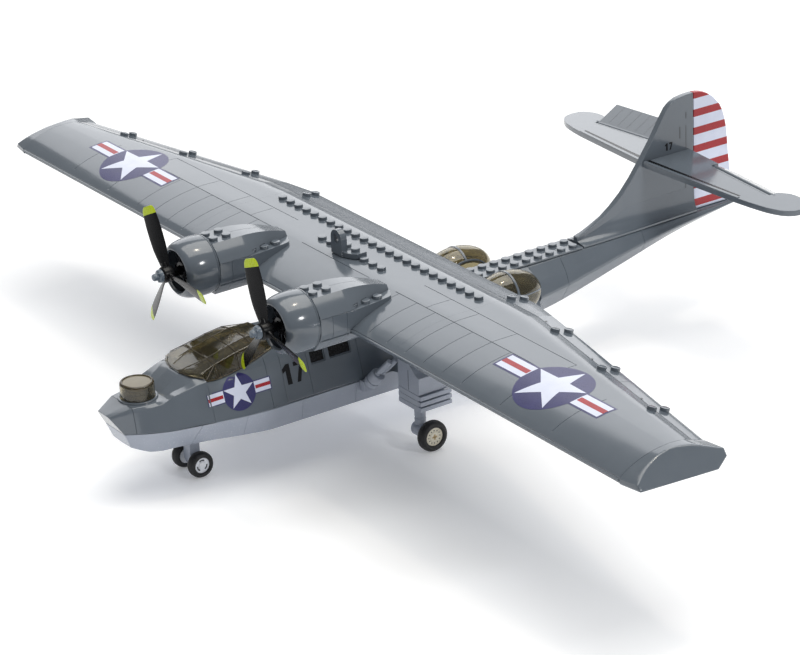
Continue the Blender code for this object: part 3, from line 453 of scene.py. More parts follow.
def roundel(bm, lay, radius, reach, barHalf, spin=0.0):
    # disc with a star, barred each side: blue edge, white field, red middle stripe
    edge = radius * 0.055
    disc = [(radius * math.cos(math.radians(a)), radius * math.sin(math.radians(a))) for a in range(0, 360, 5)]
    film(bm, disc, lay, 0, 0.05)
    film(bm, starOutline(radius * 0.95, spin), lay, 1, 0.09)
    for way in (1, -1):
        inner, outer = way * radius * 0.93, way * reach
        for near, far, half, finish, lift in ((inner, outer, barHalf, 0, 0.03), (inner, outer - way * edge, barHalf - edge, 1, 0.07),
                                              (inner, outer - way * edge, barHalf * 0.26, 2, 0.10)):
            if finish:
                near = way * math.sqrt(max(radius ** 2 - half ** 2, 0)) * 0.995
            film(bm, [(near, -half), (far, -half), (far, half), (near, half)], lay, finish, lift)


digitShapes = {
    "1": [[(0.28, 0.0), (0.60, 0.0), (0.60, 1.0), (0.36, 1.0), (0.06, 0.80), (0.06, 0.58), (0.28, 0.70)]],
    "7": [[(0.04, 1.0), (0.04, 0.80), (0.44, 0.80), (0.10, 0.0), (0.36, 0.0), (0.70, 0.84), (0.70, 1.0)]],
}


def digits(bm, text, lay, low, size, wide, finish=3):
    # plain generic figures from polygons
    for k, letter in enumerate(text):
        for shape in digitShapes[letter]:
            film(bm, [(low[0] + (k * 0.84 + a) * wide, low[1] + b * size) for a, b in shape], lay, finish, 0.05)


print("tools ready")
# wing

wingShape = {"centreHalf": 100.65, "tipX": 282.5, "kinkX": 104.0, "stripKinkX": 124.0, "bottomZ": -14.5, "trailThick": 3.2,
             "root": [(-59.0, -11.5), (-54.8, -9.1), (-49.0, -6.8), (-40.7, -4.5), (-31.6, -2.8), (-21.6, -1.7), (4.1, -1.7),
                      (13.5, -4.3), (27.0, -7.6)],
             "strip": [(-59.1, -11.5), (-55.1, -9.1), (-49.5, -6.9), (-41.4, -4.6), (-32.6, -2.9), (-22.7, -1.8), (2.5, -1.8),
                       (13.4, -4.6), (22.8, -6.9)],
             "tip": [(-60.0, -11.5), (-57.1, -9.5), (-53.1, -7.3), (-47.1, -5.0), (-40.2, -3.3), (-31.3, -2.5), (-24.0, -3.0),
                     (-17.6, -4.9), (-10.5, -7.1)],
             "slopeSeams": [59.5, 75.5, 91.5, 107.5, 123.5, 139.5, 155.5, 187.5, 227.5],
             "midSeams": [83.5, 107.5, 139.5, 187.5], "aftSeams": [75.5, 155.5, 211.5, 251.5]}


def wingLine(x):
    place = min(abs(x), wingShape["tipX"])
    stops = [(wingShape["kinkX"], "root"), (wingShape["stripKinkX"], "strip"), (wingShape["tipX"], "tip")]
    if place <= stops[0][0]:
        return wingShape["root"]
    for (near, low), (far, high) in zip(stops, stops[1:]):
        if place <= far:
            t = (place - near) / (far - near)
            return [(a + (c - a) * t, b + (d - b) * t) for (a, b), (c, d) in zip(wingShape[low], wingShape[high])]


def wingZ(x, y):
    line = wingLine(x)
    return smoothAt([p[0] for p in line], [p[1] for p in line], y)


def between(a, b, count):
    return [a + (b - a) * i / count for i in range(count)]


def rowsAt(x):
    # chordwise places of the skin's rows with the name of the seam each one carries
    place = abs(x)
    line = wingLine(x)
    lead, trail, strip = line[0][0], line[-1][0], line[-2][0]
    front = -26.4 if place <= 171 else -26.4 - 6.6 * (place - 171) / 111.5
    middle = -10.9 if place <= 187 else -10.9 - 10.7 * (place - 187) / 95.5
    rows = [(lead, "")] + [(v, "") for v in between(lead + 0.5, lead + 4.0, 4)] + [(v, "") for v in between(lead + 4.0, front - 0.7, 12)]
    for name, y, after, count in (("front", front, middle, 5), ("middle", middle, strip, 6), ("strip", strip, trail, 4)):
        rows += [(y - 0.2, ""), (y, name), (y + 0.2, "")] + [(v, "") for v in between(y + 0.8, after - 0.7, count)]
    rows.append((trail, ""))
    return rows


def seamDepth(x, y, row, column):
    place = abs(x)
    if row == "front" and (place < 27 or 59 < place < 172):
        return 0.6
    if row == "middle" and 60 < place < 187:
        return 0.6
    if row == "strip" and place > 74:
        return 0.6
    if column == "slope" and -56.5 < y < -26.3:
        return 0.6
    if column == "mid" and -26.5 < y < -10.8:
        return 0.6
    if column == "aft" and wingLine(x)[-2][0] < y:
        return 0.6
    return 0.0


def wingColumn(x, shrink=0.0, column=""):
    line = wingLine(x)
    lead, trail, low = line[0][0], line[-1][0], wingShape["bottomZ"]
    points = []
    for y, row in rowsAt(x):
        z = wingZ(x, y)
        points.append((x, y, z - seamDepth(x, y, row, column) - shrink))
    foot = line[-1][1] - wingShape["trailThick"]
    back = lead + 0.80 * (trail - lead)
    points[-1] = (x, trail - 0.25, line[-1][1] - 0.05)
    points += [(x, trail, line[-1][1] - 0.4), (x, trail, foot + 0.3), (x, trail - 0.3, foot + shrink)]
    points += [(x, v, low + (foot - low) * (v - back) / (trail - back) + shrink) for v in (trail - 5.0, back + 3.0)]
    points += [(x, back, low + shrink)] + [(x, v, low + shrink) for v in (back - 12, back - 12.2, back - 12.4)]
    points[-2] = (x, back - 12.2, low + 0.4)
    points += [(x, lead + 16, low + shrink), (x, lead + 15.8, low + 0.4), (x, lead + 15.6, low + shrink)]
    points += [(x, lead + 1.3, low + shrink), (x, lead + 0.8, low + 0.3), (x, lead + 0.8, -13.0), (x, lead - 0.2, -12.8),
               (x, lead - 0.5, -12.5), (x, lead - 0.5, -11.95), (x, lead - 0.3, -11.75)]
    points[0] = (x, lead + 0.4, -11.62)
    return points


def wingPanel(bm, low, high):
    # columns from low to high in x, with three close ones at each chordwise seam
    places = {low: "", high: ""}
    for names, tag in (("slopeSeams", "slope"), ("midSeams", "mid"), ("aftSeams", "aft")):
        for seam in wingShape[names]:
            for x in (seam, -seam):
                if low + 1 < x < high - 1:
                    places[x] = places.get(x, "") or tag
                    places.setdefault(x - 0.17, "")
                    places.setdefault(x + 0.17, "")
    for x in [i * 8.0 for i in range(-36, 37)] + [104, 124, -104, -124]:
        if low + 0.5 < x < high - 0.5 and all(abs(x - other) > 0.6 for other in places):
            places[x] = ""
    columns = []
    for x in sorted(places):
        tag = places[x]
        if tag == "slope" and abs(x) in wingShape["midSeams"]:
            columns.append([(a, b, c) for a, b, c in wingColumn(x, 0, "slope")])
            other = wingColumn(x, 0, "mid")
            columns[-1] = [p if p[2] < q[2] else q for p, q in zip(columns[-1], other)]
        else:
            columns.append(wingColumn(x, 0, tag))
    skin(bm, columns)


def slopedStud(bm, side, x, y):
    a, b = wingZ(x, y - 0.5), wingZ(x, y + 0.5)
    stud(bm, side * x, y, wingZ(x, y), (0, a - b, 1.0))


def pinDot(bm, side, x, y):
    # small round pin mark beside a stud pair
    rod(bm, (side * x, y, wingZ(x, y) - 0.4), (side * x, y, wingZ(x, y) + 0.12), 0.8, steps=14, finish=1, rounding=0.05)


wingStuds = {"row": 24, "second": [0, 1, 5, 6, 7], "rootPair": [(95.6, 17.6), (97.2, 24.4)],
             "outer": [(144.5, 8.4), (146.1, 15.7), (195.5, -2.2), (197.1, 5.0), (246.2, -12.0), (247.7, -5.4)]}
bm = bmesh.new()
wingPanel(bm, -wingShape["centreHalf"], wingShape["centreHalf"])
for i in range(wingStuds["row"]):
    stud(bm, (i - 11.5) * 8.0, 0.0, -1.7)
for i in wingStuds["second"]:
    stud(bm, (i - 3.5) * 8.0, -16.0, -1.7)
for side in (1, -1):
    for x, y in wingStuds["rootPair"]:
        slopedStud(bm, side, x, y)
settle(loose("wingCentre", bm, upperGrey, darkPin), "airframe", "upper_grey_plastic", "wing_centre")
for side, hand in ((1, "left"), (-1, "right")):
    bm = bmesh.new()
    if side > 0:
        wingPanel(bm, 100.7, wingShape["tipX"])
    else:
        wingPanel(bm, -wingShape["tipX"], -100.7)
    for x, y in wingStuds["outer"]:
        slopedStud(bm, side, x, y)
    for x, y in wingStuds["outer"][::2]:
        pinDot(bm, side, x - 13.5, y + 4.6)
    settle(loose("wingOuter." + hand, bm, upperGrey, darkPin), "airframe", "upper_grey_plastic", "wing_outer_" + hand)

# end caps: a curved block whose outer face leans in, with a shallow panel
wingCap = {"lowX": 296.0, "lean": 0.739, "sweep": 5.0, "aft": 3.6, "half": 23.5}
for side, hand in ((1, "left"), (-1, "right")):
    base = softened([(p[1], p[2]) for p in wingColumn(282.5)[::2]], 0.3, 2)
    line = wingLine(282.5)
    ring = [(y, smoothAt([p[0] for p in line], [p[1] for p in line], y)) for y in [line[0][0] + (line[-1][0] - line[0][0]) * i / 30 for i in range(31)]]
    ring += [(line[-1][0], line[-1][1] - 3.0), (line[-1][0] - 6.0, wingShape["bottomZ"]), (line[0][0] + 0.6, wingShape["bottomZ"]), (line[0][0], -13.6)]

    def capRing(t, shrink):
        # t runs 0 at the seam to 1 at the leaning face
        out = []
        middle = (-34.0, -9.0)
        for y, z in ring:
            back = max(0.0, (y + 34.0) / wingCap["half"])    # the face sweeps out towards the trailing edge
            y2 = -34.0 + (1 - 0.08 * t) * (y + 34.0) + wingCap["aft"] * back * t
            y3 = y2 + (middle[0] - y2) * shrink * 0.05
            z3 = z + (middle[1] - z) * shrink * 0.16
            far = wingCap["lowX"] + wingCap["sweep"] * back - wingCap["lean"] * (z3 - wingShape["bottomZ"])
            out.append((side * (282.58 + (far - 282.58) * t), y3, z3))
        return out
    columns = [capRing(0.0, 0.15), capRing(0.02, 0.0)] + [capRing(t, 0.0) for t in (0.25, 0.5, 0.75, 0.93)] + [capRing(0.98, 0.25), capRing(1.0, 0.8)]
    bm = bmesh.new()
    skin(bm, columns)
    settle(loose("wingCap." + hand, bm, upperGrey), "airframe", "upper_grey_plastic", "wing_tip_" + hand, smooth=30)

# printed roundels on the wing
wingPrint = {"x": 198.5, "y": -33.0, "radius": 20.0, "reach": 41.0, "barHalf": 6.3}
for side, hand in ((1, "left"), (-1, "right")):
    bm = bmesh.new()

    def onWing(a, b, lift):
        x, y = side * wingPrint["x"] + a, wingPrint["y"] + b
        return (x, y, wingZ(x, y) + lift + 0.02)
    roundel(bm, onWing, wingPrint["radius"], wingPrint["reach"], wingPrint["barHalf"])
    settle(loose("wingPrint." + hand, bm, inkBlue, inkWhite, inkRed), "airframe", "white_plastic")
print("wing ready")

# pylon between hull and wing
bm = bmesh.new()
prism(bm, [(-46, -14.7), (26, -14.7), (30, -33.2), (0, -30.6), (-50, -27.4)], -8.0, 8.0, "x", rounding=0.4)
for y in (-26.0, -2.0):
    box(bm, (-8.15, y - 0.15, -27.0), (8.15, y + 0.15, -15.2), rounding=0.05)
settle(loose("wingPylon", bm, upperGrey), "airframe", "upper_grey_plastic", "pylon")

# hull

bowDeck = {"high": -120.05, "seam": -159.0,
           "front": [(0, -170.3, -48.3), (2.6, -170.3, -48.3), (5.4, -170.2, -48.4), (6.2, -169.7, -49.3), (10.0, -164.1, -58.3), (0, -164.1, -58.3)],
           "stations": [(y, bothSides([(0, top), ridge, crease, shoulder, chine, (0, chine[1])])) for y, top, ridge, crease, shoulder, chine in (
               (-159.0, -44.9, (5.0, -44.9), (10.4, -45.0), (11.4, -46.8), (13.6, -58.3)),
               (-150.8, -44.8, (5.0, -44.8), (12.3, -44.7), (14.0, -46.2), (18.3, -58.3)),
               (-144.0, -44.8, (5.0, -44.8), (12.3, -44.6), (15.8, -45.0), (21.3, -58.2)),
               (-140.2, -44.7, (5.0, -44.7), (12.2, -44.3), (16.6, -43.4), (22.5, -58.2)),
               (-138.0, -43.1, (4.9, -43.2), (11.4, -42.8), (17.1, -41.9), (23.0, -58.2)),
               (-127.6, -36.4, (4.5, -36.5), (14.4, -38.7), (18.9, -39.2), (25.1, -58.2)),
               (-124.6, -36.4, (8.0, -36.5), (14.0, -36.9), (19.4, -38.6), (25.6, -58.4)),
               (-120.0, -36.5, (13.0, -36.6), (19.0, -36.9), (20.3, -38.2), (26.5, -58.6)))]}


def straightAt(stations, y):
    # section between stations with straight sides between them
    for (y0, low), (y1, high) in zip(stations, stations[1:]):
        if y <= y1:
            t = max(0.0, (y - y0) / (y1 - y0))
            return [(a + (c - a) * t, b + (d - b) * t) for (a, b), (c, d) in zip(low, high)]
    return stations[-1][1]


def slantedNose(front, ring, y, radius, steps=5):
    # columns from a raked flat front face back to an upright section
    full = [tuple(p) for p in front] + [(-x, v, z) for x, v, z in reversed(front) if x > 1e-6]
    back = [(x, y, z) for x, z in ring]
    middle = tuple(sum(p[k] for p in full) / len(full) for k in range(3))
    shrunk = [tuple(m + (a - m) * 0.965 for a, m in zip(p, middle)) for p in full]
    rows = [softened([(x, v - 0.12, z) for x, v, z in shrunk], radius)]
    for k in range(steps):
        t = 0.012 + (1 - 0.012) * k / steps
        rows.append(softened([tuple(a + (b - a) * t for a, b in zip(p, q)) for p, q in zip(full, back)], radius))
    return rows


bm = bmesh.new()
columns = slantedNose(bowDeck["front"], bowDeck["stations"][0][1], bowDeck["seam"] - 0.15, 0.5)
places = [(-159.15, 0.0), (-159.0, 0.3), (-158.85, 0.0)] + [p for p in lengthwise(-158.0, bowDeck["high"], (), 1.6) if p[0] > -157.8]
for y, depth in places:
    section = softened(straightAt(bowDeck["stations"], y), 0.5)
    columns.append([(x, y, z) for x, z in (inset(section, depth) if depth else section)])
skin(bm, columns)
settle(loose("bowDeck", bm, upperGrey), "airframe", "upper_grey_plastic", "bow_deck", smooth=24)

hullKeel = {"seams": (-100.8, -67.4, -34.0, -2.0), "split": -127.1, "front": [(0, -164.0, -58.5), (10.0, -164.0, -58.5), (9.2, -160.4, -67.0), (0, -160.2, -67.6)],
            "stations": [
    (y, bothSides([(0, top), (wide, top), (narrow, low), (0, low - 0.3)])) for y, wide, top, narrow, low in (
        (-155.0, 16.0, -58.5, 9.4, -70.0), (-149.0, 19.1, -58.5, 9.6, -72.6), (-140.0, 22.5, -58.5, 10.0, -74.0), (-120.0, 26.3, -58.9, 14.0, -74.0),
        (-99.0, 26.6, -60.6, 21.0, -73.8), (-84.0, 26.8, -61.0, 24.5, -73.6), (20.0, 26.8, -61.0, 24.5, -73.6),
        (20.6, 26.8, -61.0, 22.5, -70.2), (60.0, 24.8, -61.0, 14.0, -67.5), (92.0, 20.3, -61.0, 9.0, -65.0))]}


def wheelBay():
    bay = bmesh.new()
    box(bay, (-6.2, -131.5, -80), (6.2, -109.5, -66.0), rounding=0)
    return loose("bay", bay)


keelRing = lambda y: ringAt(hullKeel["stations"], y)
bm = bmesh.new()
columns = slantedNose(hullKeel["front"], keelRing(-155.0), -155.0, 0.5)
for y, depth in [p for p in lengthwise(-156.0, hullKeel["split"] - 0.08, (), 2.0) if p[0] > -155.5]:
    section = softened(keelRing(y), 0.5)
    columns.append([(x, y, z) for x, z in (inset(section, depth) if depth else section)])
skin(bm, columns)
settle(carve(loose("bowKeel", bm, lowerGrey), wheelBay()), "airframe", "lower_grey_plastic", "bow_bottom", smooth=30)
bm = bmesh.new()
hullBlock(bm, keelRing, hullKeel["split"] + 0.08, 92.0, hullKeel["seams"], 3.0, 0.8)
settle(carve(loose("hullKeel", bm, lowerGrey), wheelBay()), "airframe", "lower_grey_plastic", "hull_bottom", smooth=30)

cockpitTub = {"low": -119.98, "high": -76.48, "seam": -85.2, "wall": 2.2, "stations": [
    (y, [sill, shoulder, chine]) for y, sill, shoulder, chine in (
        (-120.0, (20.0, -38.6), (20.6, -40.5), (26.5, -58.7)),
        (-114.0, (19.6, -39.6), (20.5, -41.2), (26.6, -59.2)),
        (-99.0, (19.3, -37.9), (20.3, -39.6), (26.9, -60.4)),
        (-87.0, (18.3, -35.2), (20.1, -38.6), (27.0, -60.7)),
        (-76.4, (16.2, -32.5), (20.0, -38.1), (27.0, -60.7)))]}


def tubRing(y):
    # open U section: outside down and across, then back up the inside
    sill, shoulder, chine = ringAt(cockpitTub["stations"], y)
    w = cockpitTub["wall"]
    outer = [sill, shoulder, chine, (0.0, chine[1])]
    inner = [(0.0, -56.4), (chine[0] - 5.2, -56.4), (shoulder[0] - w, shoulder[1] - 1.5), (sill[0] - w * 0.75, sill[1])]
    ring = outer + [(-x, z) for x, z in outer[-2::-1]]
    back = [(-x, z) for x, z in inner[:0:-1]]
    return ring + back + inner


bm = bmesh.new()
columns = []
for y, depth in lengthwise(cockpitTub["low"], cockpitTub["high"], (cockpitTub["seam"],), 2.4, 0.2):
    section = softened(tubRing(y), 0.35, 2)
    columns.append([(x, y, z) for x, z in (inset(section, depth) if depth else section)])
skin(bm, columns)
for y0, y1 in ((-119.8, -117.6), (-79.4, -76.7)):
    ring = ringAt(cockpitTub["stations"], (y0 + y1) / 2)
    (sx, sz), (hx, hz), (cx, cz) = ring
    prism(bm, [(sx - 0.4, sz - 0.1), (hx - 0.4, hz), (cx - 0.6, cz + 0.4), (-cx + 0.6, cz + 0.4), (-hx + 0.4, hz), (-sx + 0.4, sz - 0.1)], y0, y1, "y", rounding=0.15)
settle(loose("cockpitTub", bm, upperGrey), "airframe", "upper_grey_plastic", "cockpit_sides", smooth=30)


def cabinTop(y):
    return -26.0 - (y + 76.0) / 76.0 * 5.0 if y <= 0 else -31.0 - y / 44.0 * 3.9


cabinBlock = {"low": -76.42, "high": 44.0, "seams": (-60.6, -29.4, 4.0), "panes": [(-58.5, -49.5, -45.5, -38.8), (-47.0, -33.2, -45.3, -38.9)]}


def cabinRing(y):
    top = cabinTop(y)
    side = (20.0, smoothAt([-76, 10, 44], [-38.0, -38.6, -41.0], y))
    return bothSides([(0, top), (7.0, top - 0.6), (13.0, top - 4.2), side, (27.0, -60.7), (0, -60.7)])


bm = bmesh.new()
hullBlock(bm, cabinRing, cabinBlock["low"], cabinBlock["high"], cabinBlock["seams"], 3.0, 1.0)
cabin = loose("cabinShell", bm, upperGrey)
hollow = bmesh.new()
box(hollow, (-15.5, -73.0, -57.0), (15.5, 41.0, -40.0), rounding=0)
carve(cabin, loose("hollow", hollow))
for side in (1, -1):
    for y0, y1, z0, z1 in cabinBlock["panes"]:
        gap = bmesh.new()
        box(gap, (side * 14.0, y0, z0), (side * 30.0, y1, z1), rounding=0.5)
        carve(cabin, loose("gap", gap))
settle(cabin, "airframe", "upper_grey_plastic", "cabin", smooth=28)
for side, hand in ((1, "left"), (-1, "right")):
    # black panes set just inside the openings, with a raised rim each
    bm = bmesh.new()
    for y0, y1, z0, z1 in cabinBlock["panes"]:
        deep = [sideX(cabinRing((y0 + y1) / 2), z) for z in (z0, z1)]
        prism(bm, [(side * (deep[0] - 1.3), z0 + 0.15), (side * (deep[1] - 1.3), z1 - 0.15), (side * 14.4, z1 - 0.15), (side * 14.4, z0 + 0.15)],
              y0 + 0.15, y1 - 0.15, "y", rounding=0.2)
        for a, b, c, d in ((y0, y1, z0, z0 + 0.5), (y0, y1, z1 - 0.5, z1), (y0, y0 + 0.5, z0, z1), (y1 - 0.5, y1, z0, z1)):
            prism(bm, [(side * (sideX(cabinRing((a + b) / 2), c) - 0.5), c), (side * (sideX(cabinRing((a + b) / 2), d) - 0.5), d),
                       (side * 16.5, d), (side * 16.5, c)], a + 0.1, b - 0.1, "y", finish=1, rounding=0.1)
    settle(loose("cabinPanes." + hand, bm, blackAbs, upperGrey), "airframe", "black_plastic", "windows_" + hand)
print("hull ready")
# gunner section with its two bays, and the boom

gunner = {"low": 44.3, "high": 92.1, "seams": (68.0,), "centre": (23.0, 66.6, -40.5), "radii": (12.5, 21.6, 13.8), "seatX": 13.4,
          "stations": [(y, bothSides([(0, -34.9), (8.0, -34.9), (13.5, -38.0), (wide - 3.5, -46.0), (wide, low), (0, low)]))
                       for y, wide, low in ((44.3, 27.0, -60.7), (66.0, 24.5, -60.7), (92.0, 20.5, -57.5))]}


def egg(centre, radii, grow=0.0, rings=28, around=48):
    # ellipsoid with its poles fore and aft
    part = bmesh.new()
    rows = []
    for i in range(rings + 1):
        a = math.pi * i / rings
        y = centre[1] - (radii[1] + grow) * math.cos(a)
        s = math.sin(a)
        if s < 1e-6:
            rows.append([part.verts.new(at(centre[0], y, centre[2]))])
            continue
        rows.append([part.verts.new(at(centre[0] + (radii[0] + grow) * s * math.cos(b), y, centre[2] + (radii[2] + grow) * s * math.sin(b)))
                     for b in [2 * math.pi * k / around for k in range(around)]])
    for a, b in zip(rows, rows[1:]):
        for i in range(around):
            j = (i + 1) % around
            corner = []
            for v in (a[i % len(a)], a[j % len(a)], b[j % len(b)], b[i % len(b)]):
                if v not in corner:
                    corner.append(v)
            part.faces.new(corner)
    bmesh.ops.recalc_face_normals(part, faces=part.faces)
    return part


def blockCutter(low, high):
    cutter = bmesh.new()
    box(cutter, low, high, rounding=0)
    return loose("cutter", cutter)


bm = bmesh.new()
hullBlock(bm, lambda y: ringAt(gunner["stations"], y), gunner["low"], gunner["high"], gunner["seams"], 3.0, 1.0)
body = loose("gunnerSection", bm, upperGrey, tanAbs)
hollow = bmesh.new()
skin(hollow, [[(x, y, z) for x, z in bothSides([(0, -36.9), (7.0, -36.9), (wide, -46.0), (wide, -59.0), (0, -59.0)])]
              for y, wide in ((46.4, 22.0), (66.0, 19.6), (90.0, 16.4))])
carve(body, loose("hollow", hollow))
for side in (1, -1):
    bay = loose("bay", egg((side * gunner["centre"][0], *gunner["centre"][1:]), gunner["radii"], 0.12))
    carve(bay, blockCutter((side * -20.0, 30.0, -70.0), (side * (gunner["seatX"] - 0.2), 110.0, -10.0)))
    carve(body, bay)
settle(body, "airframe", "upper_grey_plastic", "gunner_section", smooth=28)

# bubbles: thin smoked domes with a grey rim band and ribs
for side, hand in ((1, "left"), (-1, "right")):
    centre = (side * gunner["centre"][0], *gunner["centre"][1:])
    dome = loose("gunBubble." + hand, egg(centre, gunner["radii"]), smokeClear)
    carve(dome, loose("inside", egg(centre, gunner["radii"], -0.9)))
    carve(dome, blockCutter((side * -20.0, 30.0, -70.0), (side * gunner["seatX"], 110.0, -10.0)))
    carve(dome, blockCutter((-60, 30.0, -70.0), (60, 110.0, -47.5)))
    settle(dome, "airframe", "smoked_glass", "blister_" + hand, smooth=40)
    bm = bmesh.new()

    def onBubble(turn, share, lift=0.0):
        # turn runs round the bubble from outboard over the top, share along it
        a = math.radians(turn)
        s = math.sin(math.pi * share)
        r = [g + lift for g in gunner["radii"]]
        return (centre[0] + side * r[0] * s * math.cos(a), centre[1] - r[1] * math.cos(math.pi * share), centre[2] + r[2] * s * math.sin(a))

    def bandAlong(path, wide, tall, finish=0):
        # a flat strap following points given as (point, up, across)
        columns = []
        for point, up, across in path:
            p, u, c = Vector(point), Vector(up), Vector(across)
            columns.append([tuple(p + c * wide / 2 - u * tall * 0.5), tuple(p + c * wide * 0.42 + u * tall * 0.5), tuple(p - c * wide * 0.42 + u * tall * 0.5), tuple(p - c * wide / 2 - u * tall * 0.5)])
        skin(bm, columns, finish)
    for share in (0.5,):
        path = []
        for k in range(29):
            turn = -32 + k * (178 / 28)
            p = onBubble(turn, share)
            if side * p[0] < gunner["seatX"]:
                break
            a = math.radians(turn)
            path.append((p, (side * math.cos(a) / gunner["radii"][0], 0, math.sin(a) / gunner["radii"][2]), (0, 1, 0)))
        path = [(p, Vector(u).normalized(), c) for p, u, c in path]
        bandAlong(path, 1.5, 0.5)
    path = []
    for k in range(33):
        share = 0.12 + 0.76 * k / 32
        p, q = onBubble(12, share), onBubble(12, share + 0.01)
        up = Vector((side * math.cos(math.radians(12)) / gunner["radii"][0], 0, math.sin(math.radians(12)) / gunner["radii"][2])).normalized()
        along = (Vector(q) - Vector(p)).normalized()
        path.append((p, up, along.cross(up)))
    bandAlong(path, 0.9, 0.4)
    # rim where the bubble meets the section: follows the seat plane above the shoulder
    path = []
    for k in range(49):
        a = math.pi * (0.03 + 0.94 * k / 48)
        reach = math.sqrt(max(0.0, 1 - ((gunner["centre"][0] - gunner["seatX"]) / gunner["radii"][0]) ** 2))
        y = centre[1] - gunner["radii"][1] * reach * math.cos(a)
        z = centre[2] + gunner["radii"][2] * reach * math.sin(a)
        ring = ringAt(gunner["stations"], y)
        if z > -38.2:
            path.append(((side * (gunner["seatX"] + 0.1), y, z), (0, math.cos(a) * -0.4, math.sin(a)), (side, 0, 0)))
    path = [(p, Vector(u).normalized(), c) for p, u, c in path]
    bandAlong(path, 1.4, 0.7)
    # seat and gun stub inside, kept plain
    box(bm, (side * 14.0, 60.0, -58.0), (side * 19.0, 72.0, -50.5), finish=1)
    settle(loose("bubbleRim." + hand, bm, upperGrey, tanAbs), "airframe", "upper_grey_plastic")

boom = {"low": 92.3, "high": 244.0, "seams": (114.0, 172.0), "stations": [
    (y, bothSides([(0, -34.9), (topHalf, -34.9), (wide * 0.82, (sideZ - 34.9) / 2 - 0.2), (wide, sideZ), (narrow, low), (0, low - 0.3)]))
    for y, wide, sideZ, narrow, low, topHalf in (
        (92.3, 20.3, -50.0, 9.0, -64.5, 8.0), (110.0, 17.2, -49.5, 8.0, -62.5, 8.0), (128.0, 14.6, -47.5, 7.2, -59.0, 8.0),
        (160.0, 11.4, -43.0, 5.8, -52.0, 7.6), (200.0, 8.2, -38.6, 4.4, -43.2, 6.2), (244.0, 4.2, -36.0, 2.6, -37.2, 3.6))]}
bm = bmesh.new()
hullBlock(bm, lambda y: ringAt(boom["stations"], y), boom["low"], boom["high"], boom["seams"], 4.0, 1.4)
settle(loose("tailBoom", bm, upperGrey), "airframe", "upper_grey_plastic", "tail_boom", smooth=28)

spine = {"low": 44.0, "high": 130.2, "half": 8.0, "studs": 10}
bm = bmesh.new()
for k in range(6):
    y0 = spine["low"] + (spine["high"] - spine["low"]) * k / 6
    y1 = spine["low"] + (spine["high"] - spine["low"]) * (k + 1) / 6
    box(bm, (-8.0, y0 + 0.05, -34.6), (8.0, y1 - 0.05, -33.7), rounding=0.12)
for i in range(spine["studs"]):
    for x in (-4.0, 4.0):
        stud(bm, x, 126.2 - 8.0 * i, -33.9)
settle(loose("spinePlate", bm, upperGrey), "airframe", "upper_grey_plastic", "spine_plate")

# tail

finShape = {"half": 1.9, "back": 213.86, "edge": [(131.0, -34.6), (131.0, -30.2), (136.0, -28.8), (141.5, -26.6), (149.0, -23.2), (155.6, -18.9),
                                                  (163.0, -12.8), (170.0, -5.3), (177.4, 4.2), (184.4, 13.7), (188.4, 20.0), (191.6, 24.9), (195.2, 30.0),
                                                  (198.6, 32.6), (202.4, 34.2), (208.0, 35.0), (213.86, 35.2)]}


def plateWithEdge(bm, outline, half, axis, finish=0, rounding=0.7):
    prism(bm, outline, -half, half, axis, finish, rounding)


bm = bmesh.new()
plateWithEdge(bm, finShape["edge"] + [(213.86, -34.6)], finShape["half"], "x", rounding=0.6)
rootRows = [(131.2, 7.6, 2.6, -32.6), (136.0, 7.7, 3.0, -31.0), (141.5, 7.7, 3.4, -29.4), (155.6, 7.4, 3.6, -25.0), (170.0, 7.0, 3.6, -21.0), (190.0, 6.2, 3.4, -20.4), (213.7, 5.4, 3.2, -20.0)]
columns = []
for i in range(29):
    y = 131.2 + (213.7 - 131.2) * i / 28
    base, middle, rise = (smoothAt([r[0] for r in rootRows], [r[k] for r in rootRows], y) for k in (1, 2, 3))
    flare = [(base, -34.6), (base, -33.6)]
    for k in range(1, 7):
        t = k / 6
        # hollow curve from the foot to the fin's side
        flare.append((base * (1 - t) ** 2 + 2 * t * (1 - t) * (middle - 0.6) + (finShape["half"] + 0.02) * t ** 2,
                      -33.6 * (1 - t) ** 2 + 2 * t * (1 - t) * (-33.0) + rise * t ** 2))
    columns.append([(x, y, z) for x, z in flare] + [(-x, y, z) for x, z in reversed(flare)])
skin(bm, columns)
for side in (1, -1):
    # narrow slots near the rudder and a lower joint line
    for y, z0, z1, wide in ((208.7, 21.2, 25.1, 0.5), (204.3, 10.4, 17.3, 0.55), (208.6, 3.6, 17.3, 0.35), (208.2, -23.5, -17.5, 0.5)):
        box(bm, (side * 1.6, y - wide, z0), (side * 1.93, y + wide * 0.4, z1), finish=1, rounding=0.02)
settle(loose("tailFin", bm, upperGrey, darkPin), "airframe", "upper_grey_plastic", "fin", smooth=30)

rudderShape = {"edge": [(214.15, 35.2), (217.5, 34.8), (220.3, 34.1), (223.4, 32.9), (226.0, 31.2), (228.5, 29.3), (230.5, 27.0), (233.0, 24.2), (234.8, 20.7),
                        (236.5, 15.6), (237.7, 9.8), (238.5, 2.5), (239.1, -5.5), (240.1, -14.0), (241.0, -21.8), (241.6, -34.6), (214.15, -34.6)],
               "stripe": 10.7, "redTop": 25.0, "redTall": 4.4, "capLow": 31.4}
bm = bmesh.new()
plateWithEdge(bm, rudderShape["edge"], finShape["half"], "x", rounding=0.7)
cuts = [rudderShape["capLow"]]
for k in range(6):
    cuts += [rudderShape["redTop"] - k * rudderShape["stripe"], rudderShape["redTop"] - k * rudderShape["stripe"] - rudderShape["redTall"]]
for z in cuts:
    bmesh.ops.bisect_plane(bm, geom=bm.verts[:] + bm.edges[:] + bm.faces[:], plane_co=at(0, 0, z), plane_no=(0, 0, 1))
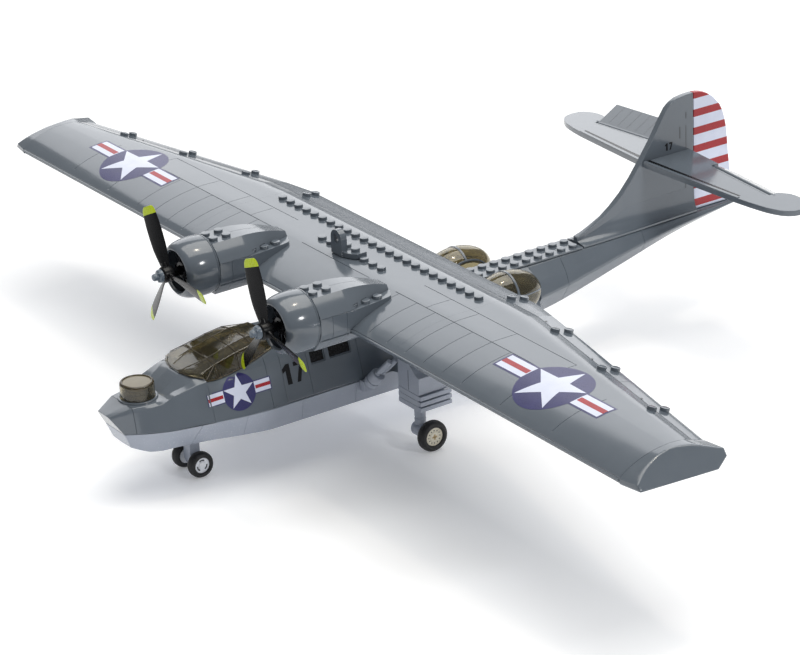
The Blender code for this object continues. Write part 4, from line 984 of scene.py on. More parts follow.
for face in bm.faces:
    z = face.calc_center_median().z / mm - 96.0
    phase = (rudderShape["redTop"] - z) % rudderShape["stripe"]
    face.material_index = 1 if z > rudderShape["capLow"] or (z < rudderShape["redTop"] and phase < rudderShape["redTall"]) else 0
settle(loose("rudderStriped", bm, inkWhite, inkRed), "airframe", "white_plastic", "rudder", smooth=30)

stabShape = {"z": 1.5, "half": 1.6, "droop": 0.062, "hingeY": 207.5, "inner": 28.0, "outer": 76.5, "chord": 16.0, "barrel": 1.7}


def droop(co):
    return Vector((co.x, co.y, co.z - stabShape["droop"] * abs(co.x)))


def hingeAt(side, x):
    return (side * x, stabShape["hingeY"], stabShape["z"] - stabShape["droop"] * x)


for side, hand in ((1, "left"), (-1, "right")):
    root = side * 2.05
    slot = stabShape["hingeY"] - stabShape["barrel"] - 0.5
    outline = [(root, 177.4), (side * 44, 184.0), (side * 68.5, 188.0), (side * 78, 190.0), (side * 84, 191.6), (side * 89, 193.1), (side * 93, 195.0),
               (side * 96.6, 197.1), (side * 99, 199.6), (side * 100.8, 202.6), (side * 101.5, 206.0), (side * 101.5, 209.0), (side * 101, 211.8),
               (side * 99.2, 214.0), (side * 96.5, 215.6), (side * 93, 216.8), (side * 89.0, 217.2), (side * 85.5, 216.9), (side * 82.0, 216.0),
               (side * 76.8, 211.4), (side * 76.8, slot), (side * 27.7, slot), (side * 27.7, 210.6), (root, 210.6)]
    bm = bmesh.new()
    prism(bm, outline, stabShape["z"] - stabShape["half"], stabShape["z"] + stabShape["half"] - 0.02, "z", rounding=0.5, bend=droop)
    # raised lip along the leading edge, with a black strip behind it as painted shade in the groove
    lip = [(side * 2.4, 177.6), (side * 70, 188.3), (side * 70, 190.3), (side * 2.4, 179.6)]
    grooveShade = [(side * 2.4, 179.5), (side * 68.5, 190.1), (side * 68.5, 192.0), (side * 2.4, 182.4)]
    prism(bm, grooveShade, stabShape["z"] + 1.3, stabShape["z"] + stabShape["half"] + 0.03, "z", finish=2, rounding=0.02, bend=droop)
    prism(bm, lip, stabShape["z"] + 1.0, stabShape["z"] + stabShape["half"] + 0.35, "z", rounding=0.2, bend=droop)
    # spanwise panel line and hinge ears
    prism(bm, [(side * 30, 203.9), (side * 75, 203.9), (side * 75, 204.1), (side * 30, 204.1)], stabShape["z"] + 1.4, stabShape["z"] + stabShape["half"] + 0.02, "z", finish=1, rounding=0, bend=droop)
    for x in (26.6, 77.9):
        rod(bm, hingeAt(side, x - 0.9), hingeAt(side, x + 0.9), 1.75, steps=18, rounding=0.2)
    rod(bm, hingeAt(side, 74.1), hingeAt(side, 78.5), 0.8, steps=12)
    rod(bm, hingeAt(side, 26.0), hingeAt(side, 30.4), 0.8, steps=12)
    settle(loose("stabiliser." + hand, bm, upperGrey, darkPin, blackAbs), "airframe", "upper_grey_plastic", "stabiliser_" + hand, smooth=30)
    angle = math.radians(32.0 if side < 0 else -26.0)

    def turnedPlate(y, z):
        return (stabShape["hingeY"] + y * math.cos(angle) - z * math.sin(angle), stabShape["z"] + y * math.sin(angle) + z * math.cos(angle))
    bm = bmesh.new()
    low, high, chord = 28.3, 76.2, stabShape["chord"]
    prism(bm, [turnedPlate(*p) for p in ((0.4, -1.4), (chord, -0.8), (chord, 0.8), (0.4, 1.4))], side * low, side * high, "x", rounding=0.35, bend=droop)
    for x in (36.0, 44.0, 52.0, 60.0, 68.0):
        for face in (1, -1):
            prism(bm, [turnedPlate(*p) for p in ((2.0, face * 1.0), (chord - 1.0, face * 0.6), (chord - 1.0, face * 0.86), (2.0, face * 1.36))], side * (x - 0.12), side * (x + 0.12), "x", finish=1, rounding=0, bend=droop)
    for a, b in ((low, 38.0), (38.1, 66.0), (66.1, high)):
        rod(bm, hingeAt(side, a), hingeAt(side, b), stabShape["barrel"] - 0.1, steps=24, rounding=0.1)
    settle(loose("elevator." + hand, bm, upperGrey, darkPin), "elevator_body_" + hand, "upper_grey_plastic", "elevator_" + hand, smooth=30)
print("tail ready")

# engines

enginePod = {"x": 48.0, "z": -5.5, "rearY": -77.5, "baseTop": -1.2, "half": 16.0,
             "cowl": [(11.2, 16.6), (11.45, 17.5), (11.8, 18.0), (12.4, 17.95), (13.0, 17.6), (13.8, 16.95), (14.4, 16.0), (15.1, 14.5), (15.6, 12.6),
                      (15.95, 10.4), (16.15, 8.0), (16.2, 5.5), (16.12, 3.0), (16.0, 1.25), (15.75, 1.12), (15.75, 0.9), (15.98, 0.78), (15.9, 0.1), (15.7, 0.0), (13.4, 0.0), (13.5, 4.0), (13.7, 9.0),
                      (13.5, 11.5), (13.0, 13.5), (12.2, 15.2)],
             "studs": [(12.0, -55.5), (11.9, -47.5), (10.8, -39.5)],
             "fairing": [(-77.2, 16.0, 7.9, 8.5), (-60.0, 16.0, 7.9, 8.5), (-57.0, 15.4, 7.8, 8.3), (-50.0, 12.4, 7.1, 7.6), (-44.0, 9.9, 6.0, 6.8),
                         (-38.0, 7.9, 4.4, 5.6), (-33.0, 6.4, 2.8, 4.6), (-28.6, 5.0, 1.2, 3.8)]}
propShape = {"y": -100.3, "radius": 37.0, "lean": {"left": 17.0, "right": 26.0}, "tip": 32.9,
             "rows": [(2.5, 2.0, 42), (8.0, 3.2, 36), (16.0, 4.5, 29), (26.0, 4.9, 24), (34.0, 4.5, 21), (36.1, 3.8, 20), (37.0, 2.6, 20)]}

for side, hand in ((1, "left"), (-1, "right")):
    x, cz = side * enginePod["x"], enginePod["z"]
    bm = bmesh.new()
    turned(bm, enginePod["cowl"], (x, enginePod["rearY"], cz), (0, -1, 0), 64, closed=True)
    settle(loose("cowl." + hand, bm, upperGrey), "airframe", "upper_grey_plastic", "cowl_" + hand, smooth=32)
    # radial engine inside: crankcase, seven finned cylinders, pushrods and an exhaust ring
    bm = bmesh.new()
    turned(bm, [(2.8, -2.0), (6.4, -2.0), (6.4, 2.6), (5.2, 3.2), (5.2, 9.4), (6.0, 9.8), (6.0, 11.4), (4.4, 12.6), (4.4, 13.6), (2.8, 13.8)], (x, -78.5, cz), (0, -1, 0), 40, closed=True)
    for i in range(7):
        a = math.radians(90 + i * 360 / 7)
        c, s = math.cos(a), math.sin(a)
        turned(bm, [(0, 3.5)] + [(r, 4.6 + k * 0.62 + d) for k in range(11) for r, d in ((1.55, 0.0), (2.05, 0.12), (2.05, 0.38), (1.55, 0.5))] + [(1.5, 11.8), (1.2, 12.4), (0, 12.5)],
               (x, -87.0, cz), (c, 0, s), 18)
        for off in (-0.16, 0.16):
            c2, s2 = math.cos(a + off), math.sin(a + off)
            rod(bm, (x + 4.6 * c2, -90.2, cz + 4.6 * s2), (x + 11.4 * c2, -88.8, cz + 11.4 * s2), 0.42, steps=10, finish=1)
    turned(bm, [(10.0 + 1.0 * math.cos(math.radians(k)), 4.0 + 1.0 * math.sin(math.radians(k))) for k in range(0, 360, 30)], (x, -78.5, cz), (0, -1, 0), 48, closed=True)
    settle(loose("radialEngine." + hand, bm, blackAbs, darkPin), "airframe", "black_plastic", "engine_" + hand)

    # nacelle block astride the wing, side seams and the studs half under the fairing
    bm = bmesh.new()
    half = [(16.0, -1.2), (16.0, -10.0), (15.3, -12.2), (14.0, -14.2), (11.2, -17.6), (8.0, -21.0)]
    columns = []
    scales = [(-77.2, 1.0), (-58.0, 1.0), (-50.0, 0.97), (-42.0, 0.90), (-33.0, 0.80), (-28.6, 0.40)]
    for y, depth in lengthwise(-77.3, -28.6, (-70.0, -61.5), 1.6, 0.25, 0.3):
        k = smoothAt([v[0] for v in scales], [v[1] for v in scales], y)
        section = [(a * k, b) for a, b in half] + [(-a * k, b) for a, b in reversed(half)]
        section = softened(section, 0.5, 2)
        if depth:
            section = inset(section, depth)
        columns.append([(x + a, y, b) for a, b in section])
    skin(bm, columns)
    block = loose("nacelle." + hand, bm, upperGrey)
    line = wingShape["root"][:-2]
    cutter = bmesh.new()
    prism(cutter, [(-59.1, -14.6)] + [(a - 0.1, b + 0.12) for a, b in line] + [(3.0, -30.0), (-50.0, -30.0), (-50.0, -14.6)], x - 20, x + 20, "x", rounding=0)
    carve(block, loose("wingCut", cutter))
    extra = bmesh.new()
    extra.from_mesh(block.data)
    for a, b in [(x + way * dx, y) for way in (-1, 1) for dx, y in enginePod["studs"]]:
        stud(extra, a, b, -1.2)
    # bright lip along the bottom edge of each side
    for way in (1, -1):
        box(extra, (x + way * 13.2, -77.0, -14.5), (x + way * 14.6, -60.0, -13.9), rounding=0.2)
    extra.to_mesh(block.data)
    extra.free()
    settle(block, "airframe", "upper_grey_plastic", "nacelle_" + hand, smooth=30)

    # fairing with its long spine seam and crisp crease, notched round the studs
    bm = bmesh.new()
    rows = enginePod["fairing"]
    columns = []
    for y, depth in lengthwise(-77.2, -28.7, (), 1.3, 0.2):
        wide, top, flat = (smoothAt([r[0] for r in rows], [r[k] for r in rows], y) for k in (1, 2, 3))
        low = -1.1
        bend, edge = low + 0.30 * (top - low), flat + 0.80 * (wide - flat)
        section = [(wide, low), (edge, bend), (edge * 0.55 + flat * 0.45, bend + (top - bend) * 0.52), (flat, top), (0.12, top), (0.0, top - 0.35), (-0.12, top),
                   (-flat, top), (-edge * 0.55 - flat * 0.45, bend + (top - bend) * 0.52), (-edge, bend), (-wide, low)]
        if depth:
            section = inset(section, depth)
        columns.append([(x + a, y, b) for a, b in section])
    skin(bm, columns)
    fairing = loose("fairing." + hand, bm, upperGrey)
    for a, b in [(x + way * dx, y) for way in (-1, 1) for dx, y in enginePod["studs"]]:
        cutter = bmesh.new()
        turned(cutter, [(0, -3.0), (2.62, -3.0), (2.62, 2.0), (0, 2.0)], (a, b, -1.2), (0, 0, 1), 24)
        carve(fairing, loose("notch", cutter))
    extra = bmesh.new()
    extra.from_mesh(fairing.data)
    for dx in (-4.0, 4.0):
        for y in (-73.6, -65.6):
            stud(extra, x + dx, y, 7.9)
    extra.to_mesh(fairing.data)
    extra.free()
    settle(fairing, "airframe", "upper_grey_plastic", "fairing_" + hand, smooth=26)

    # propeller: hub, three twisted blades with painted tips, and the axle behind
    bm = bmesh.new()
    turned(bm, [(0, -3.3), (3.6, -3.3), (4.1, -3.0), (4.4, -2.3), (4.4, 2.2), (4.0, 2.8), (3.2, 3.1), (0, 3.1)], (x, propShape["y"] - 0.2, cz), (0, 1, 0), 32)
    rod(bm, (x, -98.2, cz), (x, -81.6, cz), 2.4, steps=24)
    for i in range(3):
        a = math.radians(90 + propShape["lean"][hand] + i * 120)
        out, across, aft = Vector((math.cos(a), 0, math.sin(a))), Vector((-math.sin(a), 0, math.cos(a))), Vector((0, 1, 0))
        part = bmesh.new()
        rows = []
        for k in range(37):
            r = 2.5 + (propShape["radius"] - 2.5) * (1 - (1 - k / 36) ** 1.15)
            wideHalf, twist = (smoothAt([v[0] for v in propShape["rows"]], [v[n] for v in propShape["rows"]], r) for n in (1, 2))
            t = math.radians(twist)
            wide = across * math.cos(t) - aft * math.sin(t)
            thin = out.cross(wide)
            thick = 0.62 * (1 - 0.35 * (r / propShape["radius"]) ** 2)
            middle = Vector((x, propShape["y"], cz)) + out * r
            row = []
            for m in range(16):
                b = 2 * math.pi * m / 16
                row.append(part.verts.new(at(*(middle + wide * wideHalf * math.cos(b) + thin * (thick * math.sin(b) * (1 if m < 8 else 0.7) - 0.15 * math.cos(b) ** 2)))))
            rows.append((r, row))
        for (r0, p), (r1, q) in zip(rows, rows[1:]):
            for m in range(16):
                n = (m + 1) % 16
                part.faces.new((p[m], p[n], q[n], q[m])).material_index = 1 if (r0 + r1) / 2 > propShape["tip"] else 0
        part.faces.new(rows[0][1][::-1])
        part.faces.new(rows[-1][1]).material_index = 1
        put(bm, part, None, 0)
        rod(bm, tuple(Vector((x, propShape["y"], cz)) + out * 3.4), tuple(Vector((x, propShape["y"], cz)) + out * 6.2), 2.0, 1.5, 18)
    settle(loose("propeller." + hand, bm, blackAbs, limeAbs), "propeller_body_" + hand, "black_plastic", "propeller_" + hand, smooth=50)
    # spinner cap with a short knob
    bm = bmesh.new()
    turned(bm, [(0, 0), (3.4, 0), (3.6, 0.25), (3.55, 1.2), (3.25, 1.9), (2.6, 2.2), (1.95, 2.35), (1.85, 2.7), (1.95, 3.1), (1.85, 4.6), (1.6, 5.1), (1.0, 5.3), (0, 5.3)],
           (x, -103.9, cz), (0, -1, 0), 32)
    for i in range(3):
        a = math.radians(30 + propShape["lean"][hand] + i * 120)
        rod(bm, (x + 2.5 * math.cos(a), -105.2, cz + 2.5 * math.sin(a)), (x + 2.5 * math.cos(a), -106.6, cz + 2.5 * math.sin(a)), 0.75, steps=12)
    settle(loose("spinner." + hand, bm, steelGrey), "propeller_body_" + hand, "hub_grey_plastic", "spinner_" + hand)
print("engines ready")

# canopy: one smoked shell with moulded frame lines, over a tan interior

canopyShape = {"low": -127.3, "high": -76.7, "wall": 1.0, "ring": [
    (y, bothSides([(0, top), arch, shoulder, sill, (0, sill[1])])) for y, top, arch, shoulder, sill in (
        (-127.3, -35.6, (2.6, -35.7), (3.8, -35.8), (4.2, -36.1)),
        (-125.2, -34.9, (4.4, -34.9), (10.6, -35.2), (12.3, -36.1)),
        (-121.0, -33.8, (7.8, -33.8), (16.8, -34.2), (19.0, -36.4)),
        (-119.9, -33.4, (7.8, -33.5), (17.0, -33.9), (19.3, -36.8)),
        (-119.6, -33.3, (7.8, -33.4), (17.0, -33.9), (19.3, -38.2)),
        (-112.4, -31.2, (7.8, -31.3), (15.8, -32.0), (18.5, -39.1)),
        (-99.0, -27.8, (7.8, -28.0), (15.6, -29.2), (18.2, -37.4)),
        (-89.0, -25.7, (7.8, -26.1), (15.2, -27.8), (17.5, -35.2)),
        (-76.6, -25.4, (7.6, -26.2), (13.4, -29.0), (15.8, -32.0)))]}


bm = bmesh.new()
columns = []
for y, depth in lengthwise(canopyShape["low"], canopyShape["high"], (), 2.0, 0.3):
    section = softened(straightAt(canopyShape["ring"], y), 0.9, 4)
    columns.append([(x, y, z) for x, z in (inset(section, depth) if depth else section)])
skin(bm, columns)
shell = loose("canopyShell", bm, smokeClear)
hollow = bmesh.new()
innerRows = [(y, bothSides([(0, top), arch, shoulder, sill, (sill[0], -46.0), (0, -46.0)])) for y, top, arch, shoulder, sill in (
    (-124.6, -35.6, (4.4, -35.7), (10.8, -36.0), (12.6, -36.9)), (-119.4, -34.1, (7.6, -34.2), (16.0, -34.7), (18.2, -38.4)),
    (-112.4, -32.1, (7.6, -32.2), (15.0, -32.8), (17.6, -39.6)), (-99.0, -28.7, (7.6, -28.9), (14.8, -30.0), (17.3, -38.0)),
    (-89.0, -26.6, (7.6, -27.0), (14.4, -28.5), (16.6, -35.8)), (-77.8, -26.3, (7.4, -27.1), (12.6, -29.7), (14.8, -33.0)))]
skin(hollow, [[(x, y, z) for x, z in ring] for y, ring in innerRows])
carve(shell, loose("hollow", hollow))
settle(shell, "airframe", "smoked_glass", "canopy", smooth=24)


def rib(bm, points, wide=0.55, finish=0):
    # thin raised moulding line through points
    for a, b in zip(points, points[1:]):
        if (Vector(a) - Vector(b)).length > 0.05:
            rod(bm, a, b, wide / 2, steps=8, finish=finish, rounding=0.08)


def canopyPoint(y, index, lift=0.05):
    x, z = straightAt(canopyShape["ring"], y)[index]
    return (x + (lift if x > 0 else -lift if x < 0 else 0), y, z + lift)


canopyFrames = {"posts": [-112.4, -99.0, -89.0], "thick": 0.55}
bm = bmesh.new()
for y in canopyFrames["posts"]:
    ring = straightAt(canopyShape["ring"], y)
    path = [ring[3], ring[2], ring[1], ring[0], ring[-1], ring[-2], ring[-3]]
    rib(bm, [(x * 1.003, y, z + 0.06) for x, z in path], canopyFrames["thick"])
for index in (1, 2):
    for mirror in (1, -1):
        path = [canopyPoint(y, index) for y in (-119.6, -112.4, -99.0, -89.0, -77.0)]
        rib(bm, [(mirror * x, y, z) for x, y, z in path], 0.4)
for mirror in (1, -1):
    # corner posts of the windscreen and the sill edge
    rib(bm, [(mirror * 15.8, -112.4, -31.95), (mirror * 18.9, -119.4, -37.6)], 0.55)
    rib(bm, [(mirror * 7.8, -112.4, -31.25), (mirror * 4.4, -125.2, -34.8)], 0.4)
    rib(bm, [(mirror * x, y, z) for x, y, z in ((4.3, -127.2, -36.0), (12.4, -125.1, -36.1), (19.1, -120.9, -36.5), (19.35, -119.6, -38.2), (18.6, -112.4, -39.1), (18.3, -99.0, -37.4), (17.6, -89.0, -35.2), (15.9, -76.8, -32.0))], 0.5)
settle(loose("canopyFrames", bm, smokeEdge), "airframe", "smoked_glass", smooth=40)

cockpitFit = {"seatX": 8.5, "panelY": -111.0}
bm = bmesh.new()
box(bm, (-17.2, -117.2, -56.2), (17.2, -79.8, -53.6), rounding=0.3)
for x in (-cockpitFit["seatX"], cockpitFit["seatX"]):
    box(bm, (x - 5.6, -98.0, -53.6), (x + 5.6, -87.0, -46.2), rounding=0.9)
    box(bm, (x - 5.6, -89.8, -47.4), (x + 5.6, -86.0, -35.0), rounding=1.1)
    box(bm, (x - 3.4, -89.4, -35.6), (x + 3.4, -86.6, -32.6), rounding=0.9)
    for k in range(4):
        box(bm, (x - 4.6, -90.1, -45.4 + k * 2.5), (x + 4.6, -89.5, -43.7 + k * 2.5), rounding=0.3)
    # control column with a wheel
    rod(bm, (x, -104.5, -53.6), (x, -103.0, -44.0), 0.7, steps=12, finish=1)
    turned(bm, [(2.6 + 0.45 * math.cos(math.radians(k)), 0.45 * math.sin(math.radians(k))) for k in range(0, 360, 45)], (x, -102.8, -43.6), (0, 1, 0.3), 24, 1, closed=True)
box(bm, (-15.6, -113.2, -53.6), (15.6, -109.6, -41.5), finish=1, rounding=0.8)
for x in (-11.2, -6.6, -2.2, 2.2, 6.6, 11.2):
    for z in (-44.0, -48.2):
        turned(bm, [(0, 0.45), (1.35, 0.45), (1.5, 0.3), (1.6, 0), (0, 0)], (x, -109.6, z), (0, 1, 0), 18, 2)
box(bm, (-2.2, -108.5, -53.6), (2.2, -100.0, -49.0), finish=1, rounding=0.6)
box(bm, (-13.2, -84.6, -53.6), (13.2, -80.6, -31.8), finish=0, rounding=0.8)
settle(loose("cockpitFittings", bm, tanAbs, darkPin, creamAbs), "airframe", "tan_plastic", "cockpit_floor")

turretShape = {"centre": (0, -149.5, -44.4), "wall": [(8.05, 8.1), (8.6, 8.1), (8.9, 7.8), (9.0, 7.3), (9.0, 0.9), (9.1, 0.7), (9.1, 0.0), (8.0, 0.0), (8.0, 7.9)]}
bm = bmesh.new()
turned(bm, turretShape["wall"], turretShape["centre"], (0, 0, 1), 56, closed=True)
settle(loose("turretDome", bm, smokeClear), "airframe", "smoked_glass", "turret", smooth=35)
bm = bmesh.new()
# what shows through it: a tan plug with a dark skirt
turned(bm, [(0, 0.1), (7.2, 0.1), (7.2, 3.0), (6.6, 3.4), (6.6, 5.6), (6.9, 6.2), (6.9, 7.4), (7.6, 7.5), (7.6, 8.0), (7.2, 8.12), (0, 8.12)], turretShape["centre"], (0, 0, 1), 48,
       finishes=[1, 1, 1, 1, 0, 0, 0, 0, 3, 3])
turned(bm, [(7.3, 8.1), (7.55, 8.5), (7.9, 8.62), (8.5, 8.42), (8.75, 8.1), (8.0, 7.9)], turretShape["centre"], (0, 0, 1), 56, 2, closed=True)
settle(loose("turretPlug", bm, tanAbs, smokeEdge, smokeEdge, smokedTop), "airframe", "tan_plastic", smooth=35)
bm = bmesh.new()
turned(bm, [(9.2, -0.6), (10.4, -0.6), (10.4, 0.25), (10.2, 0.4), (9.3, 0.4), (9.2, 0.3)], turretShape["centre"], (0, 0, 1), 48, closed=True)
settle(loose("turretRing", bm, upperGrey), "airframe", "upper_grey_plastic")
print("canopy ready")

# landing gear

wheelKinds = {"nose": {"radius": 7.0, "width": 6.0, "hole": 4.4}, "main": {"radius": 8.5, "width": 6.0, "hole": 5.3}}


def tyreOn(bm, kind, x, y, z):
    r, half, hole = wheelKinds[kind]["radius"], wheelKinds[kind]["width"] / 2, wheelKinds[kind]["hole"]
    profile = [(hole - 0.2, half - 0.9), (hole + 0.1, half - 0.35), (hole + 0.7, half - 0.05), (r - 2.0, half), (r - 1.3, half - 0.1), (r - 0.6, half - 0.6), (r - 0.15, half - 1.4), (r, half - 2.3),
               (r, 0.35), (r - 0.25, 0.2), (r - 0.25, -0.2), (r, -0.35)]
    full = profile + [(a, -b) for a, b in profile[7::-1]]
    turned(bm, full, (x, y, z), (1, 0, 0), 36, closed=True)


for side, hand in ((1, "left"), (-1, "right")):
    bm = bmesh.new()
    tyreOn(bm, "nose", side * 7.9, -120.5, -89.0)
    settle(loose("noseTyre." + hand, bm, tyreRubber), "nose_wheels", "tyre_rubber", "nose_tyre_" + hand, smooth=45)
bm = bmesh.new()
rod(bm, (-10.4, -120.5, -89), (10.4, -120.5, -89), 1.6, steps=24, rounding=0.25)
for side in (1, -1):
    x = side * 7.9
    turned(bm, [(0, -2.4), (4.1, -2.4), (4.3, -2.0), (4.3, 1.6), (4.15, 2.0), (3.7, 2.1), (3.5, 1.85), (2.2, 1.75), (2.0, 2.3), (1.2, 2.5), (0, 2.5)], (x, -120.5, -89.0), (side, 0, 0), 48)
    # three curved notches in the face of the hub
    for i in range(3):
        for k in range(5):
            a = math.radians(90 + i * 120 + (k - 2) * 11)
            rod(bm, (x + side * 1.6, -120.5 + 2.85 * math.cos(a), -89 + 2.85 * math.sin(a)), (x + side * 1.9, -120.5 + 2.85 * math.cos(a), -89 + 2.85 * math.sin(a)), 0.42, steps=10, finish=1, rounding=0.02)
settle(loose("noseHubs", bm, whiteAbs, darkPin), "nose_wheels", "cream_plastic", "nose_hubs")
bm = bmesh.new()
y = -120.5
leg = bmesh.new()
prism(bm, [(y - 3.0, -66.3), (y - 3.0, -88.5), (y - 2.1, -91.0), (y, -92.0), (y + 2.1, -91.0), (y + 3.0, -88.5), (y + 3.0, -66.3)], -3.4, 3.4, "x", rounding=0.4)
legItem = loose("noseLeg", bm, lowerGrey)
bore = bmesh.new()
turned(bore, [(0, -6), (1.85, -6), (1.85, 6), (0, 6)], (0, y, -89.0), (1, 0, 0), 24)
carve(legItem, loose("bore", bore))
extra = bmesh.new()
extra.from_mesh(legItem.data)
box(extra, (-5.8, y - 8.0, -69.4), (5.8, y + 8.0, -66.2), rounding=0.3)
# fork cheeks and two thin flat plates through the leg
for x in (-3.1, 3.1):
    prism(extra, [(y - 5.6, -69.3), (y - 3.0, -78.5), (y + 3.0, -78.5), (y + 5.6, -69.3)], x - 0.6, x + 0.6, "x", rounding=0.3)
for z in (-72.6, -75.8):
    box(extra, (-3.6, y - 3.2, z - 0.12), (3.6, y + 3.2, z + 0.12), rounding=0.05)
extra.to_mesh(legItem.data)
extra.free()
leg.free()
settle(legItem, "airframe", "lower_grey_plastic", "nose_leg")

for side, hand in ((1, "left"), (-1, "right")):
    x, y, z = side * 59.0, -9.5, -87.5
    bm = bmesh.new()
    tyreOn(bm, "main", x, y, z)
    settle(loose("mainTyre." + hand, bm, tyreRubber), "main_wheel_" + hand, "tyre_rubber", "main_tyre_" + hand, smooth=45)
    bm = bmesh.new()
    turned(bm, [(0, -2.4), (5.0, -2.4), (5.2, -2.0), (5.2, 1.7), (5.0, 2.1), (4.4, 2.2), (4.2, 1.9), (2.9, 1.9), (2.7, 2.25), (1.5, 2.3), (0, 2.3)], (x, y, z), (side, 0, 0), 56)
    for i in range(12):
        a = math.radians(i * 30)
        rod(bm, (x + side * 1.7, y + 3.55 * math.cos(a), z + 3.55 * math.sin(a)), (x + side * 2.02, y + 3.55 * math.cos(a), z + 3.55 * math.sin(a)), 0.34, steps=10, finish=1, rounding=0.02)
    # cross-shaped axle end
    for a, b in ((1.5, 0.5), (0.5, 1.5)):
        box(bm, (x + side * 2.0, y - a, z - b), (x + side * 2.48, y + a, z + b), finish=2, rounding=0.1)
    rod(bm, (side * 43.5, y, z), (x, y, z), 1.6, steps=24, finish=0)
    settle(loose("mainHub." + hand, bm, creamAbs, darkPin, tanAbs), "main_wheel_" + hand, "cream_plastic", "main_hub_" + hand)
    # leg with its boss, bored for the axle
    bm = bmesh.new()
    rod(bm, (side * 44.8, y, z), (side * 52.4, y, z), 4.0, steps=32, rounding=0.3)
    item = loose("mainLeg." + hand, bm, lowerGrey)
    bore = bmesh.new()
    turned(bore, [(0, -10), (1.9, -10), (1.9, 10), (0, 10)], (side * 48.5, y, z), (1, 0, 0), 24)
    carve(item, loose("bore", bore))
    extra = bmesh.new()
    extra.from_mesh(item.data)
    turned(extra, [(0, 0), (3.1, 0), (3.1, 3.4), (2.75, 3.6), (2.75, 4.4), (3.1, 4.6), (3.1, 8.6), (2.75, 8.8), (2.75, 9.4), (3.1, 9.6), (3.1, 14.0), (0, 14.0)], (side * 48.5, y, -84.0), (0, 0, 1), 32)
    extra.to_mesh(item.data)
    extra.free()
    settle(item, "airframe", "lower_grey_plastic", "main_leg_" + hand)
    # housing: curved slope above three thin plates with dark gaps
    bm = bmesh.new()
    arc = [(side * (45 + 19 * math.sin(math.radians(a))), -60.0 + 17.0 * math.cos(math.radians(a)) ** 0.8) for a in range(0, 56, 5)]
    prism(bm, arc + [(side * 64, -50.5), (side * 64, -60.0), (side * 45, -60.0)], -20.0, -4.0, "y", rounding=0.35)
    box(bm, (side * 45.0, -20.0, -69.5), (side * 63.0, -2.0, -59.8), rounding=0.2)
    for i in range(3):
        top = -60.3 - 3.2 * i
        box(bm, (side * 45.0, -20.2, top - 2.3), (side * 65.5, -0.5, top), rounding=0.25)
    rod(bm, (side * 47.4, -16.5, -43.6), (side * 47.4, -9.5, -43.6), 2.3, steps=28)
    rod(bm, (side * 47.4, -17.0, -43.6), (side * 47.4, -9.0, -43.6), 1.0, steps=16, finish=1)
    box(bm, (side * 54.4, -20.12, -59.6), (side * 54.6, -3.9, -48.5), rounding=0, finish=1)
    settle(loose("gearHousing." + hand, bm, lowerGrey, darkPin), "airframe", "lower_grey_plastic", "gear_housing_" + hand, smooth=30)
    # strut: twin rods out of a socket on the hull side
    bm = bmesh.new()
    low, high = Vector((side * 30.7, -28.4, -61.8)), Vector((side * 36.0, -25.8, -55.2))
    run = (high - low).normalized()
    long = (high - low).length
    turned(bm, [(0, 0), (3.4, 0), (3.9, 0.5), (4.0, 1.2), (4.0, 3.0), (3.6, 3.2), (3.6, 3.8), (4.0, 4.0), (4.0, long - 0.9), (3.6, long - 0.2), (2.9, long), (0, long)], low, run, 36)
    box(bm, (side * 27.0, -32.4, -66.0), (side * 31.0, -24.4, -60.0), rounding=0.6)
    for dy in (-1.9, 1.9):
        a, b = Vector((side * 34.0, -26.0 + dy, -57.3)), Vector((side * 43.3, -21.6 + dy, -46.4))
        go = (b - a).normalized()
        full = (b - a).length
        turned(bm, [(0, 0), (1.6, 0), (1.6, full * 0.3), (1.3, full * 0.32), (1.3, full * 0.36), (1.6, full * 0.38), (1.6, full - 0.3), (1.3, full), (0, full)], a, go, 20)
    settle(loose("gearStrut." + hand, bm, lowerGrey), "airframe", "lower_grey_plastic", "strut_" + hand)
    bm = bmesh.new()
    prism(bm, [(side * 25.7, -55.0), (side * 44.7, -51.0), (side * 44.7, -56.0), (side * 27.1, -60.0)], -14.0, -9.0, "y", rounding=0.35)
    rod(bm, (side * 41.0, -14.3, -53.4), (side * 41.0, -8.7, -53.4), 1.4, steps=18, finish=1)
    settle(loose("gearArm." + hand, bm, upperGrey, darkPin), "airframe", "upper_grey_plastic", "gear_arm_" + hand)
print("gear ready")

# aerial lug: a bowed plate with studs and an upright with a hole
mast = {"x": -4.0, "hole": (7.6, 2.4), "front": -22.8, "back": -19.0}
bm = bmesh.new()
prism(bm, [(mast["x"] - 5.0, -1.4), (mast["x"] - 5.0, 7.6)] + [(mast["x"] + 5.0 * math.cos(math.radians(180 - a)), 7.6 + 5.0 * math.sin(math.radians(180 - a))) for a in range(10, 180, 10)]
      + [(mast["x"] + 5.0, 7.6), (mast["x"] + 5.0, -1.4)], mast["front"], mast["back"], "y", rounding=0.3)
lug = loose("mastLug", bm, upperGrey, darkPin)
bore = bmesh.new()
turned(bore, [(0, -8), (2.4, -8), (2.4, 8), (0, 8)], (mast["x"], -21.0, 7.9), (0, 1, 0), 32)
carve(lug, loose("bore", bore))
extra = bmesh.new()
extra.from_mesh(lug.data)
prism(extra, [(-13.0, -12.2), (-13.0, -18.6), (-11.8, -19.7), (-10.5, -20.6), (-9.0, -21.5), (-7.5, -22.1), (-5.8, -22.6), (-4.0, -22.8), (0.0, -22.6), (3.5, -21.6),
              (6.5, -20.2), (9.0, -18.2), (9.0, -12.2)], -1.4, 1.5, "z", rounding=0.25)
turned(extra, [(2.45, -0.15), (3.1, -0.15), (3.1, 0.05), (2.45, 0.05)], (mast["x"], mast["front"] + 0.0, 7.9), (0, -1, 0), 32, closed=True)
for x in (-12.0, -4.0, 4.0):
    stud(extra, x, -16.0, 1.5)
extra.to_mesh(lug.data)
extra.free()
